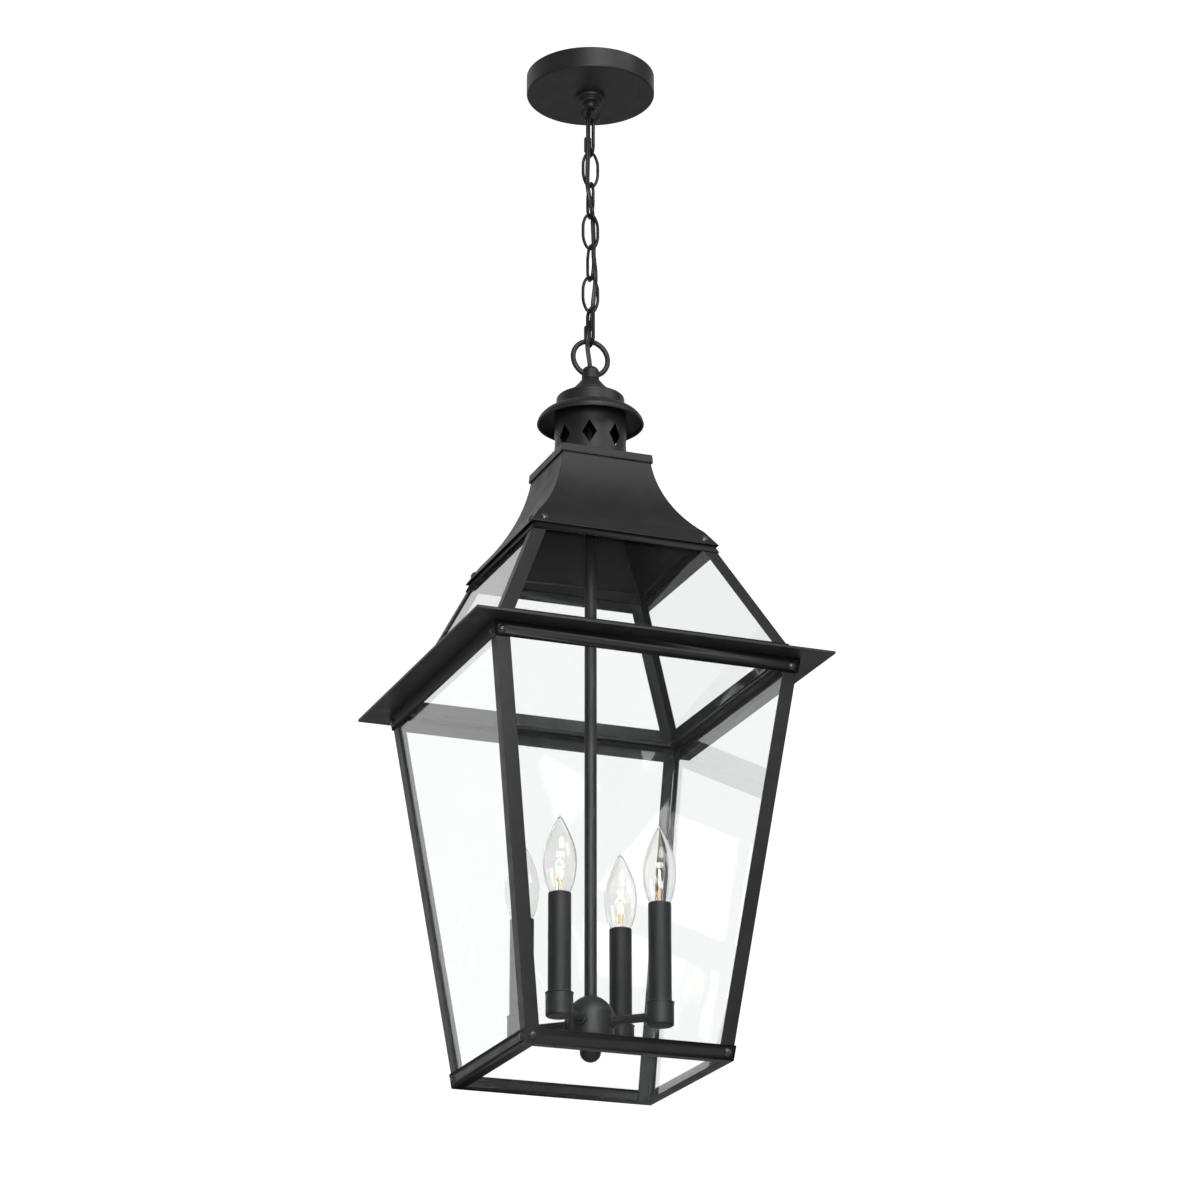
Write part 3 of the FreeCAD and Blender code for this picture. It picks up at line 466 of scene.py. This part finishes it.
def casting(node, voxel, body):
    """A cast piece: where its forms meet, they run into each other."""
    obj = copied(node + "_cast", node, flatten=False)
    remesh = obj.modifiers.new("one_skin", "REMESH")
    remesh.mode = "VOXEL"
    remesh.voxel_size = voxel * MM
    remesh.use_smooth_shade = True
    smooth = obj.modifiers.new("soft_joins", "SMOOTH")
    smooth.iterations = 7
    smooth.factor = 0.5
    return belongs(obj, body, slot_of[node], [node])


# ---------------------------------------------------------------- ceiling fittings

def canopy():
    top = top_of("canopy")
    outline = [(73.4, 0.0), (73.4, -22.0)] + bow((73.4, -22.0), (72.67, -23.77), (70.9, -24.5), 8)
    outline += [(20.0, -24.5), (5.3, -24.5), (5.3, -23.3), (70.9, -23.3)]
    outline += bow((70.9, -23.3), (71.82, -22.92), (72.2, -22.0), 6) + [(72.2, 0.0)]
    piece("canopy_cup", lathe([(r, top + z) for r, z in outline], 128), "ceiling_mount", "black_metal",
          ["canopy"], edge=0.3)
    top = top_of("canopy_collar")
    outline = [(5.15, 0), (15.6, 0)] + bow((15.6, 0), (16.85, -2.2), (15.6, -4.45), 6)
    outline += [(14.0, -4.5), (13.2, -5.1), (13.2, -7.7)] + bow((13.2, -7.7), (12.8, -9.0), (11.7, -9.48), 5)
    outline += [(5.15, -9.48)]
    piece("canopy_collar_turned", lathe([(r, top + z) for r, z in outline], 96), "ceiling_mount", "black_metal",
          ["canopy_collar"], edge=0.2)
    casting("canopy_loop", 0.28, "ceiling_mount")


# ---------------------------------------------------------------- chain

def link_outline(half, length, end_radius, end_angle):
    """A closed loop: straight legs, lean shoulders and small round ends, starting in the middle of the +X leg."""
    turn = radians(end_angle)
    end_z = length / 2 - end_radius
    joint_x = end_radius * sin(turn)
    joint_z = end_z + end_radius * cos(turn)
    shoulder = (half - joint_x) / (1 - sin(turn))
    shoulder_z = joint_z - shoulder * cos(turn)
    quarter = [(half, shoulder_z * k / 24) for k in range(24)]
    quarter += [(half - shoulder + shoulder * cos(a), shoulder_z + shoulder * sin(a))
                for a in [(pi / 2 - turn) * k / 10 for k in range(10)]]
    quarter += [(end_radius * cos(a), end_z + end_radius * sin(a))
                for a in [pi / 2 - turn + turn * k / 14 for k in range(15)]]
    upper = quarter + [(-x, z) for x, z in reversed(quarter[:-1])]
    return upper + [(x, -z) for x, z in reversed(upper[1:-1])]


def chain_link(node, body, turn):
    centre = middle_of(node).z
    path = link_outline(8.95, 42.7, 6.0, 60.0)

    def radius(k, angle):
        x, z = path[k]
        weld = 0.13 * exp(-(z / 1.0) ** 2) * (1 + 0.25 * sin(3 * angle)) if x > 0 else 0
        return 1.75 + weld

    piece(node + "_welded", placed(sweep(path, radius, 24), at(0, 0, centre, turn)), body, "black_chain", [node])


def quick_link(node, body):
    """A screw-closed link. Its thread starts at the gap that the nut covers."""
    centre = middle_of(node).z
    half, leg = 9.0, 13.75
    low = top_of(node + "_nut") - 18.0 - centre
    gap_low, gap_high = low + 1.0, low + 7.5
    thread_end = low + 27.0
    fine = int((thread_end - gap_high) / 0.11)
    path = [(-half, gap_high + (thread_end - gap_high) * k / fine) for k in range(fine + 1)]
    path += [(half * cos(a), leg + half * sin(a)) for a in [pi - pi * k / 40 for k in range(41)]]
    path += [(half, leg - 2 * leg * k / 8) for k in range(1, 8)]
    path += [(half * cos(a), -leg + half * sin(a)) for a in [-pi * k / 40 for k in range(41)]]
    path += [(-half, gap_low)]

    def radius(k, angle):
        if k > fine:
            return 2.0
        return 1.9 + 0.10 * sin(2 * pi * path[k][1] / 1.0 + angle)

    piece(node + "_threaded", placed(sweep(path, radius, 24, closed=False), at(0, 0, centre, -90)), body,
          "black_chain", [node], edge=None, sharp=60)


def hex_nut(flat, length, bore, chamfer):
    """A hexagon nut about Z with turned chamfers and a countersunk bore, from level 0 up."""
    sides, corner = 72, flat / cos(pi / 6)
    levels = [chamfer * k / 5 for k in range(6)]
    levels += [length - z for z in reversed(levels)]

    def outside(angle, z):
        nearest = min(z, length - z)
        cone = flat * 0.93 + (corner - flat * 0.93) * min(1.0, nearest / chamfer) ** 0.8
        facet = angle % (pi / 3)
        return min(flat / cos(facet - pi / 6), cone)

    vertices, faces = [], []
    rows = [(bore + 0.5, 0.0, False)] + [(0, z, True) for z in levels] + [(bore + 0.5, length, False)]
    rows += [(bore, length - 0.5, False), (bore, 0.5, False)]
    for radius, z, hexagonal in rows:
        for k in range(sides):
            angle = 2 * pi * k / sides
            r = outside(angle, z) if hexagonal else radius
            vertices.append(Vector((r * cos(angle), r * sin(angle), z)))
    for row in range(len(rows)):
        after = (row + 1) % len(rows)
        for k in range(sides):
            n = (k + 1) % sides
            faces.append((row * sides + k, after * sides + k, after * sides + n, row * sides + n))
    return vertices, faces


def chain():
    for k, node in enumerate(LINKS):
        body = CHAIN_BODIES[k + 1]
        if node.startswith("quick"):
            quick_link(node, body)
            nut = node + "_nut"
            where = at(0, 0, bottom_of(nut), -90) @ at(-9.0, 0)
            piece(nut + "_turned", placed(hex_nut(3.7, 18.0, 2.1, 0.7), where), body.replace("_link", "_nut"),
                  "black_chain", [nut], sharp=30)
        else:
            chain_link(node, body, 90 if k % 2 == 0 else 0)


# ---------------------------------------------------------------- supply cord

# The cord's route, in metres, from inside the canopy's nipple, woven through the chain, into the loop's boss.
CORD_ROUTE = [
    (0, 0, -0.014), (0, 0, -0.0395),
    (-0.0047, -0.0044, -0.0525), (-0.0046, -0.0047, -0.066),
    (-0.0044, -0.0043, -0.092), (-0.0047, -0.0044, -0.106),
    (-0.0055, -0.0044, -0.131), (-0.0050, -0.0042, -0.145),
    (0.0043, 0.0042, -0.170), (0.0047, 0.0044, -0.184),
    (0.0057, 0.0042, -0.209), (0.0053, 0.0045, -0.223),
    (0.0046, -0.0043, -0.2485), (0.0043, -0.0045, -0.2625),
    (0.0042, 0.0043, -0.2875), (0.0044, 0.0046, -0.3015),
    (-0.0055, -0.0057, -0.329), (-0.0061, -0.0055, -0.343),
    (0, 0, -0.364), (0, 0, -0.380),
]
CORD_CORE = 0.00140
CORD_APART = 0.00120
CORD_WIDE = Vector((0.93, -0.36, 0)).normalized()
CORE_SHOWING = 1.44      # half turns of each core that lie outside the groove


def cord_line():
    """Points along the smooth line that has the route's points as its control points."""
    curve = bpy.data.curves.new("cord_line", "CURVE")
    curve.dimensions = "3D"
    spline = curve.splines.new("NURBS")
    spline.points.add(len(CORD_ROUTE) - 1)
    for point, place in zip(spline.points, CORD_ROUTE):
        point.co = (*place, 1.0)
    spline.order_u = 3
    spline.use_endpoint_u = True
    spline.resolution_u = 10
    holder = bpy.data.objects.new("cord_line", curve)
    bpy.context.scene.collection.objects.link(holder)
    bpy.context.view_layer.update()
    line = bpy.data.meshes.new_from_object(holder)
    points = [v.co.copy() for v in line.vertices]
    bpy.data.objects.remove(holder)
    return points


def cord_section():
    """A flat twin cord: two round cores side by side, with a shallow groove between them."""
    section = []
    for side, start in ((1, -0.72), (-1, 0.28)):
        for k in range(10):
            angle = pi * (start + CORE_SHOWING * k / 9)
            section.append((side * CORD_APART + CORD_CORE * cos(angle), CORD_CORE * sin(angle)))
    return section


def cord():
    points = cord_line()
    section = cord_section()
    rings = []
    for k, point in enumerate(points):
        tangent = (points[min(k + 1, len(points) - 1)] - points[max(k - 1, 0)]).normalized()
        wide = (CORD_WIDE - tangent * CORD_WIDE.dot(tangent)).normalized()
        thick = tangent.cross(wide)
        rings.append([point + wide * a + thick * b for a, b in section])
    cuts = [0]
    for node in LINKS:
        level = middle_of(node).z * MM
        cuts.append(min(range(len(points)), key=lambda k: abs(points[k].z - level)))
    cuts.append(len(points) - 1)
    count = len(section)
    for k, (first, last) in enumerate(zip(cuts, cuts[1:])):
        vertices = [v for ring in rings[first:last + 1] for v in ring]
        faces = []
        for row in range(last - first):
            for s in range(count):
                n = (s + 1) % count
                faces.append((row * count + s, (row + 1) * count + s, (row + 1) * count + n, row * count + n))
        if k == 0:
            faces.append(tuple(range(count)))
        if k == len(cuts) - 2:
            faces.append(tuple((last - first) * count + s for s in reversed(range(count))))
        mesh = bpy.data.meshes.new(f"supply_cord_run_{k + 1}")
        mesh.from_pydata(vertices, [], faces)
        mesh.shade_smooth()
        stretch = bpy.data.objects.new(mesh.name, mesh)
        bpy.context.scene.collection.objects.link(stretch)
        belongs(stretch, None, "cord_black", ["supply_cord"])
        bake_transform(stretch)


# ---------------------------------------------------------------- loop, cap and chimney

def cap():
    """The cast loop, and the three turned pieces under it: a conical seat, a drum and a rain brim."""
    casting("fixture_loop", 0.36, LANTERN)
    bore, sheet = 6.7, 1.2
    seat_r, drum_r, lip_r, brim_r, bead_r = 22.0, 38.0, 38.6, 58.4, 1.2

    top, foot = top_of("loop_seat"), bottom_of("loop_seat")
    outline = [(bore, top), (9.3, top)] + bow((9.3, top), (15.3, top - 7.4), (seat_r, foot + 0.6), 14)
    outline += [(seat_r, foot), (bore, foot)]
    piece("loop_seat_turned", lathe(outline, 96), LANTERN, "black_metal", ["loop_seat"], edge=0.15)

    top, foot = top_of("vent_dome"), bottom_of("vent_dome")
    lip, inside, start = foot + 2.6, drum_r - sheet, seat_r - 1.0
    outline = [(bore, top), (start, top)] + bow((start, top), (30.0, top - 3.6), (36.2, top - 7.0), 12)
    outline += bow((36.2, top - 7.0), (37.5, top - 8.0), (drum_r, top - 9.4), 8) + [(drum_r, lip + 0.3)]
    outline += bow((drum_r, lip), (lip_r, lip - 1.3), (drum_r, foot), 8)
    outline += [(inside, foot), (inside, top - 9.7)]
    outline += bow((inside, top - 9.7), (36.2, top - 8.8), (35.0, top - 8.0), 6)
    outline += bow((35.0, top - 8.0), (29.4, top - 4.8), (start, top - sheet), 12) + [(bore, top - sheet)]
    piece("vent_dome_spun", lathe(outline, 128), LANTERN, "black_metal", ["vent_dome"], edge=0.12)

    top = top_of("vent_brim")
    band, rim, inside = top - 12.1, top - 16.1, brim_r - sheet
    outline = [(bore, top), (37.7, top)] + bow((37.7, top), (51.0, top - 4.2), (brim_r, band), 20)
    outline += [(brim_r + 0.1, rim + 1.5)]
    outline += [(brim_r + bead_r * cos(a), rim + bead_r * sin(a)) for a in [radians(75 - 24 * k) for k in range(11)]]
    outline += [(inside, rim + bead_r), (inside, band - 0.2)]
    outline += bow((inside, band - 0.2), (50.4, top - 5.5), (40.6, top - sheet), 18) + [(bore, top - sheet)]
    piece("vent_brim_spun", lathe(outline, 144), LANTERN, "black_metal", ["vent_brim"], edge=0.1)
    folded_sheet("vent_chimney", 0.3)


# ---------------------------------------------------------------- roof and body

def hood():
    foot = bottom_of("roof_hood")
    neck, knee, middle = (51.6, -492.4), (95.9, -583.4), (68.3, -545.1)
    inset = 1.5
    outline = [(51.6, -485.2), neck] + bow(neck, middle, knee, 30)
    outline += [(107.4, foot + 0.75), (107.75, foot + 0.25), (107.5, foot + 0.02), (106.9, foot + 0.02),
                (106.4, foot + 0.3), (knee[0] - inset, knee[1] - 0.4)]
    outline += bow((knee[0] - inset, knee[1] - 0.4), (middle[0] - inset, middle[1] - 0.4),
                   (neck[0] - inset, neck[1]), 26)
    outline += [(51.6 - inset, -485.2)]
    obj = new_object("roof_hood_formed", square_lathe(outline, 1.0))
    obj.modifiers.new("flat_faces", "WEIGHTED_NORMAL").keep_sharp = True
    belongs(obj, LANTERN, "black_metal", ["roof_hood"])


def sheet_metal():
    folded_sheet("roof_collar", 0.9)
    folded_sheet("eave_plate", 0.6)
    for node in ("roof_rails", "body_top_rails", "body_bottom_rails"):
        folded_sheet(node)
    for corner in CORNERS:
        folded_sheet("roof_rafter_" + corner)
        folded_sheet("corner_post_" + corner)


# ---------------------------------------------------------------- candle cluster

def candle_places():
    """The four candle axes, front left first."""
    return [(middle_of("bulb_" + corner).x, middle_of("bulb_" + corner).y) for corner in CORNERS]


def four(shape):
    return joined(*[placed(shape, at(x, y)) for x, y in candle_places()])


def cluster():
    top = top_of("hub_body")
    outline = [(6.7, 0), (7.6, 0)] + bow((7.6, 0), (18.6, -7.4), (25.0, -18.0), 16)
    outline += [(25.0, -43.0), (23.5, -43.0), (23.5, -18.4)] + bow((23.5, -18.4), (17.7, -8.6), (7.4, -1.5), 12)
    outline += [(6.7, -1.5)]
    piece("hub_body_spun", lathe([(r, top + z) for r, z in outline], 96), LANTERN, "black_metal",
          ["hub_body"], edge=0.35)
    top = top_of("hub_cover")
    outline = [(6.7, 0), (25.0, 0), (25.0, -1.0)] + bow((25.0, -1.0), (23.4, -1.9), (21.0, -2.2), 5) + [(6.7, -2.2)]
    piece("hub_cover_pressed", lathe([(r, top + z) for r, z in outline], 96), LANTERN, "black_metal",
          ["hub_cover"], edge=0.15)
    top = top_of("finial")
    low = bottom_of("finial")
    centre = low + 11.25 - top
    outline = [(6.7, 0), (9.6, 0), (9.6, -1.8)] + bow((9.6, -1.8), (8.9, -3.0), (9.0, -5.0), 5)
    start = radians(32)
    outline += [(11.25 * cos(a), centre + 11.25 * sin(a)) for a in [start - (start + pi / 2) * k / 22
                                                                     for k in range(22)]]
    outline += [(0, low - top), (0, -6.0), (6.7, -6.0)]
    piece("finial_turned", lathe([(r, top + z) for r, z in outline], 80), LANTERN, "black_metal",
          ["finial"], edge=0.15)

    low, high = bottom_of("candle_cups"), top_of("candle_cups")
    outline = [(0, low)] + [(11.8, low)] + bow((11.8, low), (13.7, low + 0.8), (14.4, low + 2.7), 6)
    outline += [(14.4, high - 2.1)]
    outline += [(14.2 + 0.85 * cos(a), high - 0.95 + 0.85 * sin(a)) for a in [radians(-62 + 30 * k) for k in range(7)]]
    outline += [(13.45, high - 1.6), (13.45, low + 1.3), (0, low + 1.2)]
    piece("candle_cups_spun", four(lathe(outline, 72)), LANTERN, "black_metal", ["candle_cups"], edge=0.2)

    low, high = bottom_of("candle_sleeves"), top_of("candle_sleeves")
    outline = [(12.15, low), (12.15, high - 1.2)] + bow((12.15, high - 1.2), (11.95, high - 0.35), (11.4, high), 5)
    outline += bow((11.4, high), (10.95, high - 0.3), (10.8, high - 1.0), 4) + [(10.8, low)]
    piece("candle_sleeves_drawn", four(lathe(outline, 72)), LANTERN, "sleeve_black", ["candle_sleeves"], edge=0.1)


def lamp_pieces(corner, x, y, spin):
    """A torpedo lamp: blown envelope, brass screw cap, glass mount, lead wires with a faint painted glow, and a looped
    filament.
    """
    body, node = "bulb_" + corner, "bulb_" + corner
    cap_low, tip = bottom_of(node), top_of(node)
    base = cap_low + 10.0
    where = at(x, y, 0, spin)
    outer = through([(5.5, base), (7.4, base + 4.2), (10.5, base + 10), (15.2, base + 22), (17.7, base + 41),
                     (16.3, base + 58), (10.4, base + 75), (4.6, base + 87.2), (2.0, tip - 2.6), (1.3, tip - 0.9),
                     (0.6, tip - 0.15), (0.0, tip)], 7)
    inner = [(max(0.0, r - 0.62), z - 0.25) for r, z in outer if z < tip - 3.4]
    inner[0] = (outer[0][0] - 0.6, base)
    inner.append((0.0, tip - 3.6))
    envelope = lathe(outer + list(reversed(inner)), 64)
    piece(body + "_envelope", placed(envelope, where), body, "bulb_glass", [node], sharp=70)

    low = cap_low
    outline = [(0, low), (1.9, low), (2.6, low + 0.5), (3.1, low + 1.6), (4.6, low + 2.0)]
    for k in range(40):
        z = low + 2.2 + 6.8 * k / 39
        outline.append((5.55 + 0.28 * sin(2 * pi * k / 10.0), z))
    outline += [(5.6, base - 0.6), (5.3, base), (0, base)]
    piece(body + "_screw_cap", placed(lathe(outline, 48), where), body, "bulb_glass", sharp=45, material=BRASS)

    squeeze = Matrix.Diagonal((1.0, 0.62, 1.0, 1.0))
    outline = [(0, base - 0.1), (4.5, base - 0.1), (4.3, base + 2.0), (2.9, base + 6.5), (2.2, base + 12),
               (2.2, base + 19), (3.0, base + 22), (3.1, base + 24.5), (1.6, base + 26.2), (0, base + 26.6)]
    piece(body + "_mount", placed(lathe(outline, 32), where @ squeeze), body, "bulb_glass", sharp=70,
          material=MOUNT_GLASS)

    crown = base + 46.0
    hook = base + 39.0
    wires = []
    for side in (-1, 1):
        wires.append(sweep([(side * 2.1, base + 14), (side * 2.1, base + 24), (side * 2.6, base + 28),
                            (side * 4.9, hook - 3), (side * 5.6, hook), (side * 5.3, hook + 1.0)], 0.22, 8, False))
    wires.append(sweep([(0.0, base + 25.5), (0.2, base + 33), (0.0, crown + 0.3)], 0.16, 8, False))
    curls = []
    for k in range(90):
        share = k / 89
        curls.append((1.3 * sin(11 * pi * share) * (0.4 + 0.6 * share), base + 11 + 16 * share))
    wires.append(sweep(curls, 0.24, 6, False))
    # The lead wires carry a faint painted glow.
    piece(body + "_lead_wires_painted_glow", placed(joined(*wires), where), body, "bulb_glass", sharp=70, material=LEAD_WIRE_PAINTED_GLOW)

    coil = []
    turns, steps = 46, 46 * 8
    for k in range(steps + 1):
        share = k / steps
        spread = -5.4 + 10.8 * share
        rise = hook + (crown - hook) * sin(pi * share) ** 0.8
        swing = 2 * pi * turns * share
        coil.append(Vector((spread, 0.34 * cos(swing), rise + 0.34 * sin(swing))))
    piece(body + "_filament", placed(thread(coil, 0.14), where), body, "bulb_glass", sharp=70, material=FILAMENT)


def thread(line, radius, sides=5):
    """A thin round wire along any line of points."""
    vertices, faces = [], []
    up = Vector((0, 0, 1))
    for k, point in enumerate(line):
        tangent = (line[min(k + 1, len(line) - 1)] - line[max(k - 1, 0)]).normalized()
        across = tangent.cross(up)
        across = across.normalized() if across.length > 1e-4 else Vector((1, 0, 0))
        over = tangent.cross(across)
        for s in range(sides):
            angle = 2 * pi * s / sides
            vertices.append(point + across * (radius * cos(angle)) + over * (radius * sin(angle)))
    for k in range(len(line) - 1):
        for s in range(sides):
            n = (s + 1) % sides
            faces.append((k * sides + s, (k + 1) * sides + s, (k + 1) * sides + n, k * sides + n))
    faces.append(tuple(range(sides)))
    faces.append(tuple((len(line) - 1) * sides + s for s in reversed(range(sides))))
    return vertices, faces


def lamps():
    for (x, y), corner, spin in zip(candle_places(), CORNERS, (20, 65, -35, 100)):
        lamp_pieces(corner, x, y, spin)


# ---------------------------------------------------------------- camera, light and floor

def camera():
    azimuth, elevation = radians(-21.07), radians(-20.29)
    back = Vector((sin(azimuth) * cos(elevation), -cos(azimuth) * cos(elevation), sin(elevation)))
    right = Vector((cos(azimuth), sin(azimuth), 0))
    up = back.cross(right)
    data = bpy.data.cameras.new("camera")
    data.sensor_width = 36.0
    data.lens = 111.3
    data.clip_end = 60.0
    data.shift_x = 1.8 / 1185
    obj = bpy.data.objects.new("camera", data)
    turn = Matrix((right, up, back)).transposed().to_4x4()
    obj.matrix_world = Matrix.Translation((-1.350, -3.505, -2.0215)) @ turn
    bpy.context.scene.collection.objects.link(obj)
    bpy.context.scene.camera = obj


def soft_light(name, place, target, size, power, colour=(1, 1, 1)):
    data = bpy.data.lights.new(name, "AREA")
    data.shape = "RECTANGLE"
    data.size, data.size_y = size
    data.energy = power
    data.color = colour
    obj = bpy.data.objects.new(name, data)
    direction = Vector(place) - Vector(target)
    obj.matrix_world = Matrix.Translation(place) @ direction.to_track_quat("Z", "Y").to_matrix().to_4x4()
    bpy.context.scene.collection.objects.link(obj)


def studio():
    """A white backdrop, with softer light from below than from the front. What is lit sees the softer light."""
    world = bpy.data.worlds.new("studio")
    bpy.context.scene.world = world
    world.use_nodes = True
    tree = world.node_tree
    tree.nodes.clear()
    output = tree.nodes.new("ShaderNodeOutputWorld")
    lit = tree.nodes.new("ShaderNodeBackground")
    seen = tree.nodes.new("ShaderNodeBackground")
    split = tree.nodes.new("ShaderNodeSeparateXYZ")
    half_way = tree.nodes.new("ShaderNodeMapRange")
    ramp = tree.nodes.new("ShaderNodeValToRGB")
    place = tree.nodes.new("ShaderNodeTexCoord")
    path = tree.nodes.new("ShaderNodeLightPath")
    bounces = tree.nodes.new("ShaderNodeMath")
    direct = tree.nodes.new("ShaderNodeMath")
    direct.operation = "LESS_THAN"
    direct.inputs[1].default_value = 0.5
    mix = tree.nodes.new("ShaderNodeMixShader")
    half_way.inputs["From Min"].default_value = -1.0
    depth = tree.nodes.new("ShaderNodeMapRange")
    depth.inputs["From Min"].default_value = -1.0
    sides = tree.nodes.new("ShaderNodeValToRGB")
    product = tree.nodes.new("ShaderNodeMath")
    product.operation = "MULTIPLY"
    height_levels = ((-1.0, 0.45), (-0.45, 0.45), (-0.3, 0.16), (-0.04, 0.5), (0.1, 1.0), (0.4, 0.97),
                     (0.55, 0.5), (1.0, 0.3))
    depth_levels = ((-1.0, 0.10), (-0.3, 0.14), (0.2, 0.30), (0.65, 0.9), (1.0, 1.0))
    for node, levels in ((ramp, height_levels), (sides, depth_levels)):
        while len(node.color_ramp.elements) < len(levels):
            node.color_ramp.elements.new(0.5)
        for element, (place_on_axis, strength) in zip(node.color_ramp.elements, levels):
            element.position = (place_on_axis + 1) / 2
            element.color = (strength, strength, strength, 1.0)
    tree.links.new(split.outputs["Y"], depth.inputs["Value"])
    tree.links.new(depth.outputs[0], sides.inputs["Fac"])
    tree.links.new(ramp.outputs["Color"], product.inputs[0])
    tree.links.new(sides.outputs["Color"], product.inputs[1])
    tree.links.new(place.outputs["Generated"], split.inputs[0])
    tree.links.new(split.outputs["Z"], half_way.inputs["Value"])
    tree.links.new(half_way.outputs[0], ramp.inputs["Fac"])
    tree.links.new(product.outputs[0], lit.inputs["Color"])
    seen.inputs["Color"].default_value = (1.0, 1.0, 1.0, 1.0)
    seen.inputs["Strength"].default_value = 1.1
    tree.links.new(path.outputs["Diffuse Depth"], bounces.inputs[0])
    tree.links.new(path.outputs["Glossy Depth"], bounces.inputs[1])
    tree.links.new(bounces.outputs[0], direct.inputs[0])
    tree.links.new(direct.outputs[0], mix.inputs[0])
    tree.links.new(lit.outputs[0], mix.inputs[1])
    tree.links.new(seen.outputs[0], mix.inputs[2])
    tree.links.new(mix.outputs[0], output.inputs["Surface"])
    soft_light("key", (-0.2, -3.0, 2.3), (0, 0, -0.7), (2.4, 2.0), 105)
    soft_light("fill", (2.4, -2.6, 1.2), (0, 0, -0.7), (1.8, 1.8), 40)
    soft_light("front", (-0.6, -3.4, -1.3), (0, 0, -0.95), (1.9, 0.6), 42)
    soft_light("canopy", (-0.3, -1.3, -0.46), (0, 0, 0.0), (1.0, 0.3), 14)
    bpy.context.scene.view_settings.view_transform = "Standard"
    bpy.context.scene.view_settings.look = "None"


def floor():
    """A pale floor under the lantern, which fades into the white backdrop."""
    level, radius = -2.75, 4.2
    shape = lathe([(0.0, level / MM), (radius / MM, level / MM), (radius / MM, (level - 0.01) / MM),
                   (0.0, (level - 0.01) / MM)], 96)
    obj = new_object("studio_floor", shape)
    s = Surface("pale_floor")
    s.feed(colour=s.blend(s.noise(1.5, 4), (0.80, 0.80, 0.795), (0.77, 0.77, 0.765)),
           rough=s.remap(s.noise(3, 3), 0.3, 0.7, 0.55, 0.7))
    s.bump(s.noise(60, 3), 0.1, 0.0005)
    away = s.add("ShaderNodeVectorMath", operation="LENGTH")
    s.link(s.stretched(1, 1, 0), away.inputs[0])
    mix = s.add("ShaderNodeMixShader")
    s.link(s.remap(away.outputs["Value"], 1.2, 4.0), mix.inputs[0])
    s.link(s.shader.outputs[0], mix.inputs[1])
    s.link(s.add("ShaderNodeBsdfTransparent").outputs[0], mix.inputs[2])
    s.link(mix.outputs[0], s.output.inputs["Surface"])
    obj.data.materials.append(s.material)


canopy()
chain()
cord()
cap()
hood()
sheet_metal()
cluster()
lamps()
camera()
studio()
floor()

bpy.context.view_layer.update()
